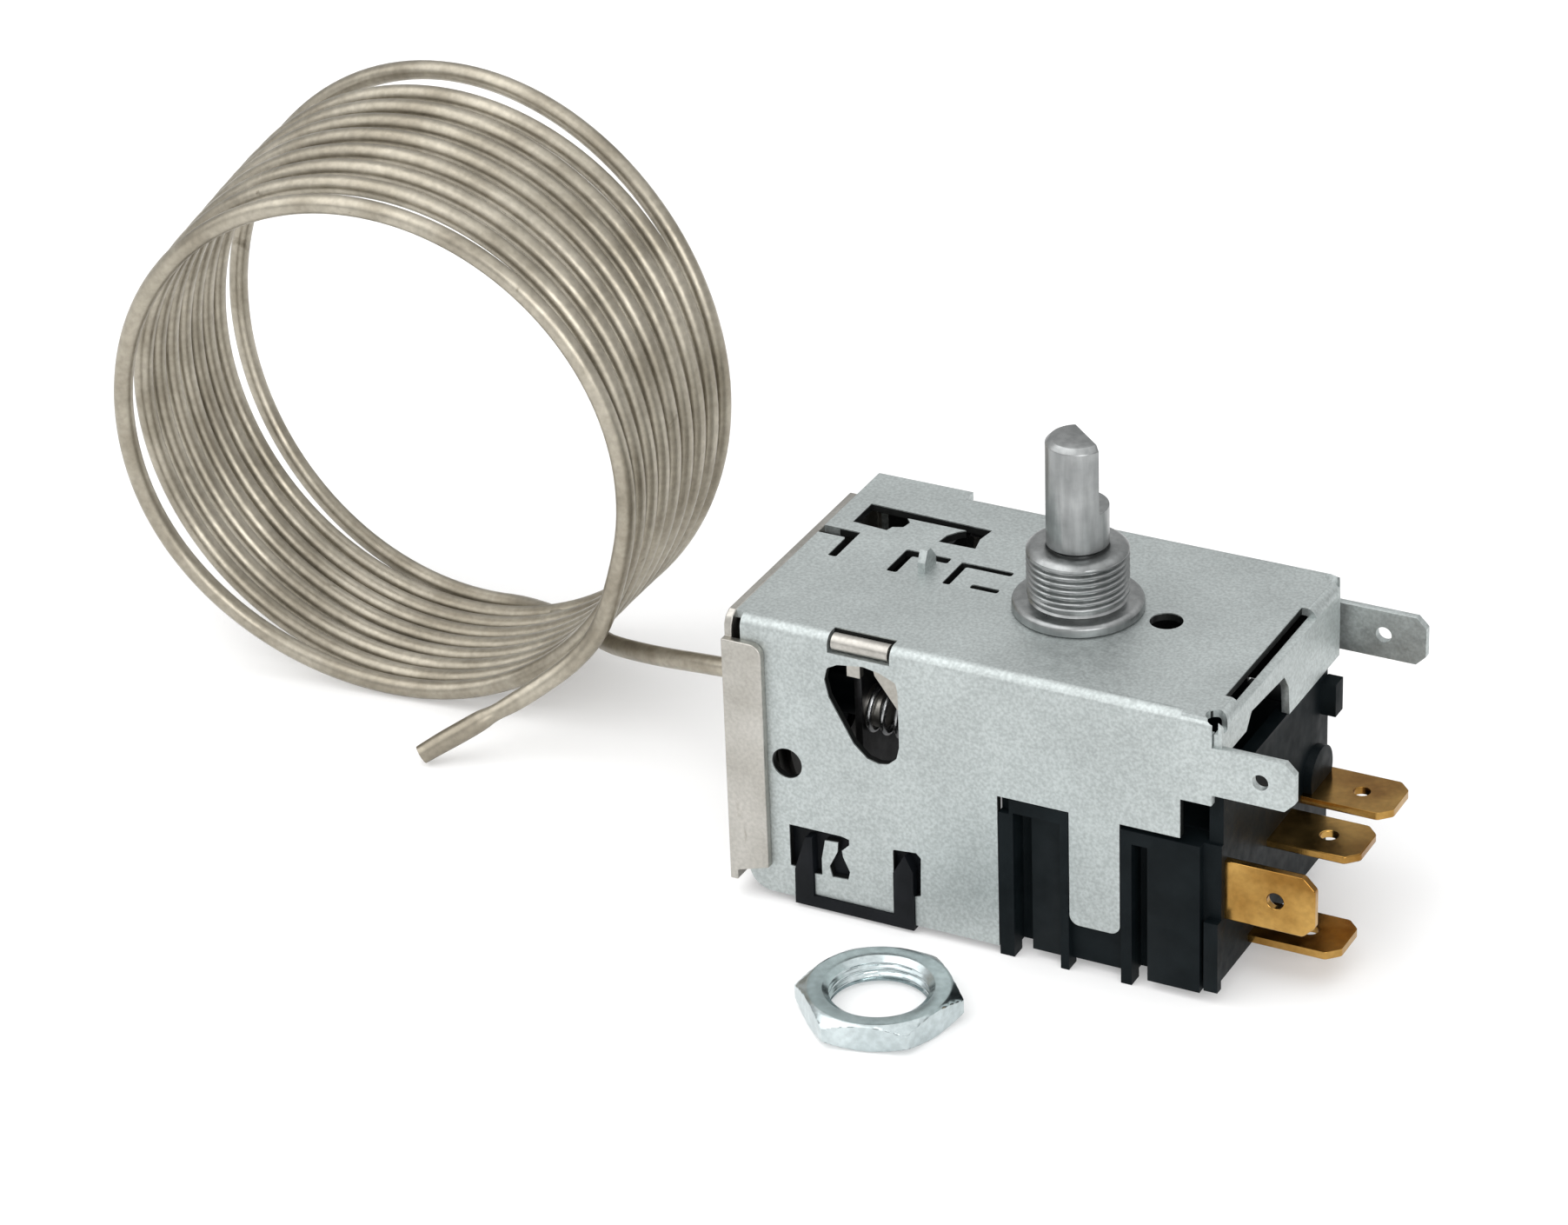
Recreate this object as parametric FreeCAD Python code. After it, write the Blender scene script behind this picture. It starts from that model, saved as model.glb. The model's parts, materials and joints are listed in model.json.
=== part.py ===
# Capillary thermostat with flat-bladed switch
# Millimetres. Modelled from the frame's lower front left corner: X to the terminals, Y to the back, Z up.
# On export all moves so that the origin lies on the spindle axis, on the bushing flange's bearing face.
import FreeCAD, Part
import math
import os

os.makedirs("parts", exist_ok=True)
V = FreeCAD.Vector
TINY = 0.01
FULL_TURN = 360.0

# Shared fits: running gap of pins, gap of faces that only touch, gap beside moving sheet
RUN_FIT = 0.05
TOUCH = 0.05
SIDE_GAP = 0.2

# Overall sizes: the frame follows from the lever bay, the switch housing and the room above it
SHEET = 0.8
BEND_OUT = 1.15
BEND_IN = BEND_OUT - SHEET
LEVER_BAY = 26.6
HOUSE_GAP = 0.1
HOUSE_L = 22.3
HOUSE_END_GAP = 0.2
HOUSE_X0 = LEVER_BAY + HOUSE_GAP
HOUSE_X1 = HOUSE_X0 + HOUSE_L
FRAME_L = HOUSE_X1 + HOUSE_END_GAP
HOUSE_TOP = 16.0
LEVER_ROOM = 13.7
FRAME_H = HOUSE_TOP + LEVER_ROOM
UNDER = FRAME_H - SHEET
FRONT_HALF = 15.0
BACK_HALF = 15.9
MID_Y = FRONT_HALF
FRAME_D = FRONT_HALF + BACK_HALF
FOOT_Z = -0.85

# Frame outline
PLATE_OVER_LEFT = 0.9
PLATE_LEFT = -PLATE_OVER_LEFT
PLATE_OVER_BACK = 0.7
PLATE_BACK = FRAME_D + PLATE_OVER_BACK
STEP_X = 9.4
WALL_SHORT = 0.9
WALL_END = FRAME_L - WALL_SHORT
WALL_CUT_OVER = 0.5
WALL_CUT_TOP = HOUSE_TOP + WALL_CUT_OVER
TONGUE_IN = 7.25
TONGUE_W = 5.15
TONGUE_Z = 4.35
TONGUE_ROUND = 1.0
RECESS_L = 4.0
RECESS_X = FRAME_L - RECESS_L
RECESS_DOWN = 9.05
RECESS_TOP = FRAME_H - RECESS_DOWN

# Earth tabs
TAB_W = 5.0
TAB_DOWN = 7.9
TAB_Z0 = FRAME_H - TAB_DOWN
TAB_Z1 = TAB_Z0 + TAB_W
TAB_OUT = 7.3
BACK_TAB_OUT = 8.2
TAB_CHAMFER = 1.0
TAB_HOLE_R = 0.8
TAB_HOLE_OUT = 3.9

# Holes and windows; outlines near the top give the depth below the plate's upper face
CORNER_HOLE_R = 1.0
PLATE_HOLE_R = 1.6
WALL_HOLE_X = 4.5
WALL_HOLE_R = 1.6
WALL_HOLE_DROP = 0.1
WALL_CORNER_R = 2.4
BEND_WINDOW_X = (9.2, 15.7)
BEND_WINDOW_DOWN = 1.8
BEND_WINDOW_IN = 1.9
PEAR = [(8.8, 4.8), (9.1, 3.5), (10.2, 2.9), (12.9, 2.5), (14.6, 2.8), (16.3, 3.5),
        (16.5, 4.7), (16.5, 10.4), (16.2, 11.7), (15.3, 12.5), (14.3, 12.7), (13.1, 12.4),
        (11.7, 11.1), (9.2, 6.6)]
PEAR_ROUND = 0.5
CUT_LEFT = [(4.5, 3.4), (5.0, 3.4), (5.0, -1.0), (7.1, -1.0), (7.1, 3.1), (10.7, 3.3), (10.9, 4.2),
            (10.2, 5.7), (10.1, 6.4), (10.9, 7.2), (10.9, 7.8), (10.1, 8.0), (4.5, 8.0)]
CUT_RIGHT = [(15.55, -1.0), (17.8, -1.0), (17.8, 3.2), (18.4, 3.4), (18.5, 7.6), (18.0, 8.1),
             (15.7, 7.9), (15.55, 7.8)]
FOOT_EDGE = [(7.0, -1.0), (15.6, -1.0), (15.6, 0.75), (7.0, 0.75)]
HOOK_OUTLINE = [(7.9, 2.8), (9.1, 2.8), (8.7, 4.3), (9.6, 6.1), (9.7, 7.2), (8.3, 7.1), (7.9, 5.0)]
FLANGE_Y0 = 0.3
FLANGE_EDGE = [(0.3, 4.1), (6.0, 4.1), (7.2, 2.6), (15.0, 3.1), (16.1, 4.7), (16.4, 7.75)]
FLANGE_FAR = 2.2
FLANGE_SLOT_L = 1.6
FLANGE_SLOT_Y = 4.7
FLANGE_SLOT_FAR = 8.0
FLANGE_SLOT_DOWN = 0.9
SLOT_ROUND = 0.25
SLOTS = [
    [(-1.0, 18.2), (2.1, 18.2), (2.1, 14.3), (3.0, 14.3), (3.0, 19.7), (-1.0, 19.7)],
    [(8.6, 13.8), (9.7, 13.8), (9.7, 17.3), (13.4, 17.3), (13.4, 18.4), (8.6, 18.4)],
    [(14.6, 13.6), (15.4, 13.6), (15.4, 17.4), (20.1, 17.4), (20.1, 18.2), (14.6, 18.2)],
    [(17.4, 13.8), (20.3, 13.8), (20.3, 14.6), (17.4, 14.6)],
]
WIDE_SLOT = [(1.3, 25.5), (14.5, 25.1), (14.2, 23.0), (14.6, 21.1), (10.7, 21.0), (10.9, 22.5),
             (11.6, 23.6), (12.2, 24.1), (5.9, 24.1), (6.5, 23.4), (6.3, 22.3), (5.3, 21.9),
             (5.1, 21.1), (1.3, 21.4)]
RAISED_LUG = [(14.6, 0.1), (17.0, 0.1), (17.0, -0.9), (15.9, -2.2), (15.2, -2.2), (14.6, -1.1)]
RAISED_LUG_X = 11.6

# Bushing and spindle
AXIS_IN = 1.7
AXIS_FORE = 0.4
AXIS_X = HOUSE_X0 + AXIS_IN
AXIS_Y = MID_Y - AXIS_FORE
FLANGE_H = 1.2
FLANGE_R = 6.3
SEAT_Z = FRAME_H + FLANGE_H
THREAD_R = 4.9
THREAD_L = 5.6
THREAD_TOP = SEAT_Z + THREAD_L
THREAD_CHAMFER = 0.5
NECK_R = 4.0
STAKE_H = 0.9
STAKE_R = 5.2
SPINDLE_R = 3.0
JOURNAL_STEP = 0.4
JOURNAL_R = SPINDLE_R - JOURNAL_STEP
JOURNAL_OUT = 0.2
SPINDLE_OUT = 11.2
SPINDLE_TOP = THREAD_TOP + SPINDLE_OUT
SPINDLE_CHAMFER = 0.5
FLAT_L = 7.0
FLAT_OFFSET = 0.95
FLAT_ANGLE = 49.0
RING_H = 0.7
RING_R = 4.4
RING_GROOVE = 0.5
RING_GAP = 0.1
RING_Z = UNDER - STAKE_H - RING_GAP - RING_H

# Range cam and range lever
ARM_UP = 3.2
ARM_Z = HOUSE_TOP + ARM_UP
SPINDLE_UP = 2.7
SPINDLE_BOTTOM = ARM_Z + SPINDLE_UP
CAM_UP = 0.6
CAM_Z = SPINDLE_BOTTOM + CAM_UP
CAM_T = 2.0
CAM_R_MAX = 5.5
CAM_R_MIN = 4.7
CAM_SWEEP = 300.0
CAM_DWELL = 15.0
CAM_STEPS = 48
NOSE_GAP = 0.12
NOSE_R = 0.9
LEVER_T = 0.8
RANGE_PIN_BACK = 8.9
RANGE_PIN_DOWN = 2.4
RANGE_PIN_X = AXIS_X - RANGE_PIN_BACK
RANGE_PIN_Z = FRAME_H - RANGE_PIN_DOWN
RANGE_PIN_R = 0.8
RANGE_EYE_R = 1.3
PIN_LUG_W = 3.2
PIN_LUG_DOWN = 4.1
PIN_LUG_FORE = 2.4
PIN_LUG_AFT = 3.2
PIN_LUG_Y0 = MID_Y - PIN_LUG_FORE
PIN_LUG_Y1 = MID_Y + PIN_LUG_AFT
RANGE_LEVER_Y0 = PIN_LUG_Y0 + SHEET + SIDE_GAP
RANGE_LEVER_Y1 = PIN_LUG_Y1 - SIDE_GAP
RANGE_LEVER_UP = 1.7
RANGE_LEVER_Z = ARM_Z + RANGE_LEVER_UP

# Main lever and its two hanger cheeks
HANGER_OUTLINE = [(8.4, 0.8), (8.4, 2.2), (10.6, 2.2), (10.6, 4.6), (12.0, 4.6), (12.0, 2.2), (13.2, 2.4),
                  (13.5, 3.9), (16.5, 8.0), (18.2, 8.0), (18.2, 5.7), (15.2, 3.3), (16.6, 2.2), (16.6, 0.8)]
HOOK_R = 0.85
HOOK_IN = 0.1
HOOK_X = (9.5, 15.4)
MAIN_AXIS_X = 14.4
MAIN_AXIS_DOWN = 2.3
MAIN_AXIS_Z = FRAME_H - MAIN_AXIS_DOWN
MAIN_PIN_R = 0.7
MAIN_EYE_R = 1.3
CHEEK_Y = SHEET + BEND_IN
EAR_Y = CHEEK_Y + SHEET + SIDE_GAP
EAR_BELOW = 0.5
WEB_X = 10.0
WEB_SHOULDER = 1.6
WEB_DOWN = 5.5
ARM_W = 6.0
ARM_END_IN = 7.5
ARM_END = HOUSE_X0 + ARM_END_IN

# Range spring
SPRING_DOWN = 10.2
SPRING_Z = FRAME_H - SPRING_DOWN
SPRING_R = 2.4
SPRING_WIRE_R = 0.3
SPRING_PITCH = 1.35
SPRING_FREE = 0.45
SPRING_SEAT_R = SPRING_R - SPRING_WIRE_R - TOUCH
SPRING_Y = EAR_Y + WEB_SHOULDER + SPRING_R
WING_R = 2.8

# Capsule, bracket and plunger
CAPSULE_DROP = 0.35
CAPSULE_Z = FRAME_H / 2 - CAPSULE_DROP
BRACKET_T = 0.8
BRACKET_X = PLATE_LEFT - BRACKET_T
BRACKET_FLANGE_X = 2.5
BRACKET_FLANGE_DOWN = 2.35
BRACKET_TOP = FRAME_H - BRACKET_FLANGE_DOWN
BRACKET_LOW = 0.9
BRACKET_FLANGE_UP = 0.8
BRACKET_RISE = 1.3
BRACKET_CORNER = 1.2
BRACKET_FAR = 4.1
BRACKET_FLUSH_Y = FRAME_D - BRACKET_FAR
BRACKET_STEP_DOWN = 1.1
SHELL_R = 11.2
SHELL_T = 0.5
SHELL_DEPTH = 1.2
RIM_W = 1.2
MEMBRANE_T = 0.2
MEMBRANE_STEPS = 3
WAVE = 0.35
OPENING_R = 6.5
PAD_R = 5.6
PAD_T = 0.8
STEM_R = 2.0
DOME = 0.5

# Switch housing
HOUSE_LOW = 0.1
HOUSE_SIDE = 0.9
HOUSE_Y1 = FRAME_D - HOUSE_SIDE
HOUSE_END_X = FRAME_L - FLANGE_SLOT_L
HOUSE_END_DOWN = 7.8
HOUSE_END_TOP = FRAME_H - HOUSE_END_DOWN
HOUSE_END_FAR = 4.6
HOUSE_END_Y = FRAME_D - HOUSE_END_FAR
HOUSE_FLOOR = 1.4
CAVITY_IN = 1.9
CAVITY_OUT = 2.4
CAVITY_SIDE = 3.8
CAVITY_X0 = HOUSE_X0 + CAVITY_IN
CAVITY_X1 = HOUSE_X1 - CAVITY_OUT
COVER_IN = 1.3
COVER_OUT = 1.6
COVER_SIDE = 3.0
COVER_T = 1.4
COVER_Z = HOUSE_TOP - COVER_T
LUG_ONE_L = 7.15
LUG_ONE_UP = 0.4
LUG_TWO_IN = 12.5
LUG_TWO_OUT = 1.8
LUG_TWO_X0 = HOUSE_X0 + LUG_TWO_IN
RIB_ONE_L = 1.5
RIB_TWO_L = 0.85
RIB_THREE_L = 1.1
CHANNEL_DEEP = 0.7
CHANNEL_ONE_DOWN = 1.0
CHANNEL_TWO_L = 1.6
CHANNEL_TWO_DOWN = 1.4
GROOVE_L = 1.6
GROOVE_DEEP = 2.2
STEP_CUT_L = 1.1
STEP_CUT_DOWN = 1.2
CORNER_RIB_LOW = 0.5
END_BLOCK_L = 1.5
END_BLOCK_W = 1.8
END_BLOCK_OVER = 0.2
END_BLOCK_DOWN = 12.2
END_BLOCK_H = 3.5
END_BOSS_L = 0.9
END_BOSS_R = 2.7
END_BOSS_DOWN = 3.8

# Flat terminals
BLADE_W = 6.3
BLADE_T = 0.8
BLADE_OUT = 8.8
BLADE_TIP = FRAME_L + BLADE_OUT
BLADE_TIP_CHAMFER = 1.2
BLADE_TIP_ROUND = 0.6
BLADE_HOLE_R = 0.83
BLADE_HOLE_FROM_TIP = 4.0
BACK_BLADE_AFT = 8.0
BACK_BLADE_DOWN = 5.7
BACK_Y = MID_Y + BACK_BLADE_AFT
BACK_Z = HOUSE_TOP - BACK_BLADE_DOWN
MIDDLE_FORE = 0.2
MIDDLE_STEP = 0.3
MIDDLE_Y = MID_Y - MIDDLE_FORE
MIDDLE_Z = BACK_Z - MIDDLE_STEP
FRONT_Y = 1.6
FRONT_BLADE_DOWN = 5.05
FRONT_Z = HOUSE_TOP - FRONT_BLADE_DOWN
LOW_FORE = 4.6
LOW_Y = MID_Y - LOW_FORE
LOW_Z = 2.05
ROOT_OUT = 5.6
ROOT_X = HOUSE_X1 - ROOT_OUT
BLADE_IN_GAP = 1.2
BLADE_IN = ROOT_X + BLADE_IN_GAP
FRONT_IN_GAP = 1.2
FRONT_IN = ROOT_X - FRONT_IN_GAP
STRIP_W = 2.8
STRIP_AFT = 4.8
STRIP_Y0 = MID_Y + STRIP_AFT
STRIP_Y1 = STRIP_Y0 + STRIP_W
BRANCH_FORE = 1.4
BRANCH_Y = MID_Y - BRANCH_FORE
SHELF_GAP = 1.4
SHELF_X = ROOT_X - SHELF_GAP
RIVET_R = 0.9
RIVET_HEAD_R = 1.6
RIVET_HEAD_T = 0.6
RIVET_L = 1.5
RIVET_BACK_OUT = 8.5
RIVET_BACK = (HOUSE_X1 - RIVET_BACK_OUT, STRIP_Y0 + STRIP_W / 2)
RIVET_LOW_IN = 0.8
RIVET_LOW = (BLADE_IN + RIVET_LOW_IN, LOW_Y)
LEDGE_HALF = 1.7

# Contact set, button and differential screw
CONTACT_IN = 3.2
CONTACT_X = HOUSE_X0 + CONTACT_IN
CONTACT_R = 1.1
BRANCH_HALF = 1.2
MOVING_T = 0.7
FIXED_T = 1.05
CONTACT_GAP = 0.95
ARM_BLADE_T = 0.4
ARM_BLADE_W = 5.0
ARM_BLADE_OVER = 1.0
ARM_BLADE_TOP = BACK_Z - FIXED_T - CONTACT_GAP - MOVING_T
ROOT_R = 0.7
ROOT_Z = ARM_BLADE_TOP - ARM_BLADE_T / 2
SHELF_Z = ROOT_Z - ROOT_R - TOUCH - BLADE_T
BUTTON_R = 1.5
BUTTON_GAP = 0.4
BUTTON_X = CONTACT_X + BRANCH_HALF + BUTTON_GAP + BUTTON_R
BUTTON_COLLAR_R = 2.2
BUTTON_COLLAR_T = 1.0
BUTTON_COLLAR_DOWN = 1.6
BUTTON_COLLAR_Z = COVER_Z - BUTTON_COLLAR_DOWN - BUTTON_COLLAR_T
SCREW_IN = 10.4
SCREW_AFT = 0.4
SCREW_X = HOUSE_X0 + SCREW_IN
SCREW_Y = MID_Y + SCREW_AFT
SCREW_R = 1.5
SCREW_HEAD_R = 2.3
SCREW_HEAD_UP = 1.4
SCREW_HEAD_Z0 = HOUSE_TOP + SCREW_HEAD_UP
SCREW_HEAD_Z1 = ARM_Z - SIDE_GAP
SCREW_TIP_UP = 0.6
SCREW_TIP = ARM_BLADE_TOP + SCREW_TIP_UP
SCREW_SLOT = 0.6
SCREW_SLOT_DEEP = 0.8

# Insulating clip
CLIP_ARM_ONE = [(5.05, -0.5), (7.05, -0.5), (7.05, 7.3), (6.3, 7.1), (5.1, 3.3)]
CLIP_ARM_TWO = [(15.6, -0.5), (17.75, -0.5), (17.75, 6.0), (16.9, 7.7), (15.65, 5.5)]
CLIP_BOTTOM = -0.5
CLIP_BAR_TOP = 0.7
CLIP_FRONT = -0.3
CLIP_BACK = 2.2
CLIP_PLATE = (3.9, 19.0, 8.6)

# Loose nut
NUT_AF = 14.0
NUT_T = 2.9
NUT_X = 20.7
NUT_Y = -13.8
NUT_BORE_R = 4.5
NUT_TURN = 14.6
NUT_CHAMFER = 0.6
NUT_SIDES = 6

# Capillary tube: ring centres, lean and tip in degrees, radii
TUBE_R = 1.0
FERRULE_R = 1.9
FERRULE_L = 1.6
COIL_NEAR_AT = (-50.7, 16.95, 28.2)
COIL_NEAR_LEAN = -5.7
COIL_NEAR_TIP = 1.2
COIL_NEAR_R = 28.0
COIL_FAR_AT = (-52.5, 41.5, 29.7)
COIL_FAR_LEAN = 0.5
COIL_FAR_TIP = -4.2
COIL_FAR_R = 29.6
LEAD_ROUTE = [(BRACKET_X, MID_Y, CAPSULE_Z), (-9.0, 15.4, 14.0), (-18.6, 18.6, 11.4), (-28.6, 24.8, 7.5),
              (-36.4, 34.6, 2.6), (-44.6, 38.9, 0.6), (-52.5, 39.3, 0.25)]
TAIL_ROUTE = [(-24.5, 19.75, 18.6), (-26.3, 17.7, 12.2), (-31.5, 15.4, 6.9), (-41.9, 8.4, 0.15)]
BEND_SHARE = 0.45

ORIGIN = V(AXIS_X, AXIS_Y, SEAT_Z)


def box(x0, x1, y0, y1, z0, z1):
    return Part.makeBox(x1 - x0, y1 - y0, z1 - z0, V(x0, y0, z0))


def face_of(points):
    return Part.Face(Part.makePolygon(points + [points[0]]))


def plate_xy(outline, z0, z1):
    """A flat piece with its outline in X and Y."""
    return face_of([V(x, y, z0) for x, y in outline]).extrude(V(0, 0, z1 - z0))


def plate_xz(outline, y0, y1):
    """A flat piece with its outline in X and Z."""
    return face_of([V(x, y0, z) for x, z in outline]).extrude(V(0, y1 - y0, 0))


def plate_yz(outline, x0, x1):
    """A flat piece with its outline in Y and Z."""
    return face_of([V(x0, y, z) for y, z in outline]).extrude(V(x1 - x0, 0, 0))


def from_top(outline):
    """Turns depths below the plate's upper face into heights."""
    return [(along, FRAME_H - down) for along, down in outline]


def along_x(radius, x0, x1, y, z):
    return Part.makeCylinder(radius, x1 - x0, V(x0, y, z), V(1, 0, 0))


def along_y(radius, y0, y1, x, z):
    return Part.makeCylinder(radius, y1 - y0, V(x, y0, z), V(0, 1, 0))


def along_z(radius, z0, z1, x, y):
    return Part.makeCylinder(radius, z1 - z0, V(x, y, z0), V(0, 0, 1))


def edges_where(shape, test):
    return [edge for edge in shape.Edges if test(edge.BoundBox)]


def largest(shape):
    return max(shape.Solids, key=lambda solid: solid.Volume)


def put(name, shape, merge=True):
    """Moves a piece into the part's own frame and writes it, with faces on one surface merged or kept."""
    moved = shape.removeSplitter() if merge else shape.copy()
    moved.translate(-ORIGIN)
    moved.exportStep("parts/" + name + ".step")
    print(name, len(moved.Solids), round(moved.Volume, 2), moved.isValid())


def folded(outer, inner, outer_edges, inner_edges):
    """A folded sheet: an outer block less an inner one, both with rounded bends."""
    skin = outer.makeFillet(BEND_OUT, edges_where(outer, outer_edges))
    core = inner.makeFillet(BEND_IN, edges_where(inner, inner_edges))
    return skin.cut(core)


def make_frame():
    """Plate, walls and right flange cut from one folded sheet."""
    low = CLIP_BOTTOM

    def long_top(bb):
        return bb.ZMin > low + TINY and bb.XLength > SHEET and bb.ZLength < TINY and bb.YLength < TINY

    def cross_top(bb):
        return bb.ZMin > low + TINY and bb.XMin > STEP_X and bb.YLength > SHEET and bb.ZLength < TINY

    walls = folded(box(0, WALL_END, 0, FRAME_D, low, FRAME_H),
                   box(-SHEET, FRAME_L, SHEET, FRAME_D - SHEET, low - SHEET, UNDER), long_top, long_top)
    flange = folded(box(0, FRAME_L, FLANGE_Y0, FRAME_D - FLANGE_Y0, low, FRAME_H),
                    box(-SHEET, FRAME_L - SHEET, 0, FRAME_D, low - SHEET, UNDER), cross_top, cross_top)
    edge = from_top(FLANGE_EDGE)
    keep = plate_yz(edge + [(FRAME_D - FLANGE_FAR, edge[-1][1]), (FRAME_D - FLANGE_FAR, FRAME_H),
                            (FLANGE_Y0, FRAME_H)], RECESS_X, FRAME_L)
    body = walls.fuse(flange.common(keep))
    body = body.fuse(box(PLATE_LEFT, STEP_X, BEND_OUT, PLATE_BACK, UNDER, FRAME_H))
    body = body.cut(box(PLATE_LEFT, STEP_X, FRAME_D - SHEET, FRAME_D + TINY, BRACKET_TOP, UNDER))
    for y0 in (-SHEET, FRAME_D - SHEET * 2):
        body = body.cut(lower_cuts(y0, y0 + SHEET * 3))
    body = body.cut(box(-SHEET, FRAME_L, -SHEET, FRAME_D + SHEET, low - SHEET, 0))
    for y0, out in ((0, TAB_OUT), (FRAME_D - SHEET, BACK_TAB_OUT)):
        body = body.fuse(earth_tab(y0, FRAME_L + out))
    return plate_details(front_details(body))


def lower_cuts(y0, y1):
    """The parts taken from a wall so that the housing can reach through it."""
    tongue = HOUSE_X0 + TONGUE_IN
    low = -SHEET * 2
    outline = [(LEVER_BAY, low), (LEVER_BAY, WALL_CUT_TOP), (tongue, WALL_CUT_TOP), (tongue, TONGUE_Z),
               (tongue + TONGUE_W, TONGUE_Z), (tongue + TONGUE_W, WALL_CUT_TOP), (RECESS_X, WALL_CUT_TOP),
               (RECESS_X, RECESS_TOP), (FRAME_L, RECESS_TOP), (FRAME_L, low)]
    cut = plate_xz(outline, y0, y1)

    def tongue_foot(bb):
        return bb.YLength > SHEET and abs(bb.ZMin - TONGUE_Z) < TINY

    return cut.makeFillet(TONGUE_ROUND, edges_where(cut, tongue_foot))


def earth_tab(y0, end):
    root = WALL_END - SHEET
    tip = end - TAB_CHAMFER
    tab = plate_xz([(root, TAB_Z0), (tip, TAB_Z0), (end, TAB_Z0 + TAB_CHAMFER),
                    (end, TAB_Z1 - TAB_CHAMFER), (tip, TAB_Z1), (root, TAB_Z1)], y0, y0 + SHEET)
    return tab.cut(along_y(TAB_HOLE_R, y0 - TINY, y0 + SHEET + TINY, FRAME_L + TAB_HOLE_OUT,
                           (TAB_Z0 + TAB_Z1) / 2))


def front_details(body):
    """Bend window, shaped window, round hole, notches and bent hook of the front wall."""
    x0, x1 = BEND_WINDOW_X
    body = body.cut(box(x0, x1, -SHEET, BEND_WINDOW_IN, FRAME_H - BEND_WINDOW_DOWN, FRAME_H + SHEET))
    pear = plate_xz(from_top(PEAR), -SHEET, SHEET + TINY)
    pear = pear.makeFillet(PEAR_ROUND, edges_where(pear, lambda bb: bb.YLength > SHEET))
    body = body.cut(pear)
    hole_z = FRAME_H / 2 - WALL_HOLE_DROP
    body = body.cut(along_y(WALL_HOLE_R, -SHEET, SHEET + TINY, WALL_HOLE_X, hole_z))
    corner = box(-TINY, WALL_CORNER_R, -SHEET, SHEET + TINY, -TINY, WALL_CORNER_R)
    corner = corner.cut(along_y(WALL_CORNER_R, -SHEET, SHEET + TINY, WALL_CORNER_R, WALL_CORNER_R))
    body = body.cut(corner)
    for outline in (CUT_LEFT, CUT_RIGHT, FOOT_EDGE):
        body = body.cut(plate_xz(outline, -SHEET, SHEET + TINY))
    return body.fuse(plate_xz(HOOK_OUTLINE, 0, SHEET))


def plate_details(body):
    """Slots, holes and lugs of the top plate and the slot in the right bend."""
    above = FRAME_H + SHEET
    for outline in SLOTS:
        slot = plate_xy(outline, UNDER - SHEET, above)
        body = body.cut(slot.makeFillet(SLOT_ROUND, edges_where(slot, lambda bb: bb.ZLength > SHEET)))
    body = body.cut(plate_xy(WIDE_SLOT, UNDER - TINY, above))
    x0 = FRAME_L - FLANGE_SLOT_L
    y1 = FRAME_D - FLANGE_SLOT_FAR
    body = body.cut(box(x0, FRAME_L + SHEET, FLANGE_SLOT_Y, y1, FRAME_H - FLANGE_SLOT_DOWN, above))
    for y in (BEND_OUT, FRAME_D - BEND_OUT):
        body = body.cut(along_z(CORNER_HOLE_R, UNDER - SHEET, above, WALL_END, y))
    body = body.cut(along_z(PLATE_HOLE_R, UNDER - TINY, above, SCREW_X, SCREW_Y))
    body = body.cut(along_z(NECK_R, UNDER - TINY, above, AXIS_X, AXIS_Y))
    body = body.fuse(plate_yz(from_top(RAISED_LUG), RAISED_LUG_X, RAISED_LUG_X + SHEET))
    for y in (PIN_LUG_Y0, PIN_LUG_Y1):
        lug = box(RANGE_PIN_X - PIN_LUG_W / 2, RANGE_PIN_X + PIN_LUG_W / 2, y, y + SHEET,
                  FRAME_H - PIN_LUG_DOWN, UNDER)
        bore = along_y(RANGE_PIN_R, y - TINY, y + SHEET + TINY, RANGE_PIN_X, RANGE_PIN_Z)
        body = body.fuse(lug.cut(bore))
    return body


def make_bushing():
    flange = along_z(FLANGE_R, FRAME_H, SEAT_Z, AXIS_X, AXIS_Y)
    flange = flange.makeFillet(FLANGE_H / 3, edges_where(flange, lambda bb: bb.ZMin > SEAT_Z - TINY))
    thread = along_z(THREAD_R, SEAT_Z, THREAD_TOP, AXIS_X, AXIS_Y)
    thread = thread.makeChamfer(THREAD_CHAMFER, edges_where(thread, lambda bb: bb.ZMin > THREAD_TOP - TINY))
    neck = along_z(NECK_R, UNDER, FRAME_H, AXIS_X, AXIS_Y)
    stake = along_z(STAKE_R, UNDER - STAKE_H, UNDER, AXIS_X, AXIS_Y)
    body = flange.fuse(thread).fuse(neck).fuse(stake)
    return body.cut(along_z(JOURNAL_R + RUN_FIT, CAM_Z, SPINDLE_TOP, AXIS_X, AXIS_Y))


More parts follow.
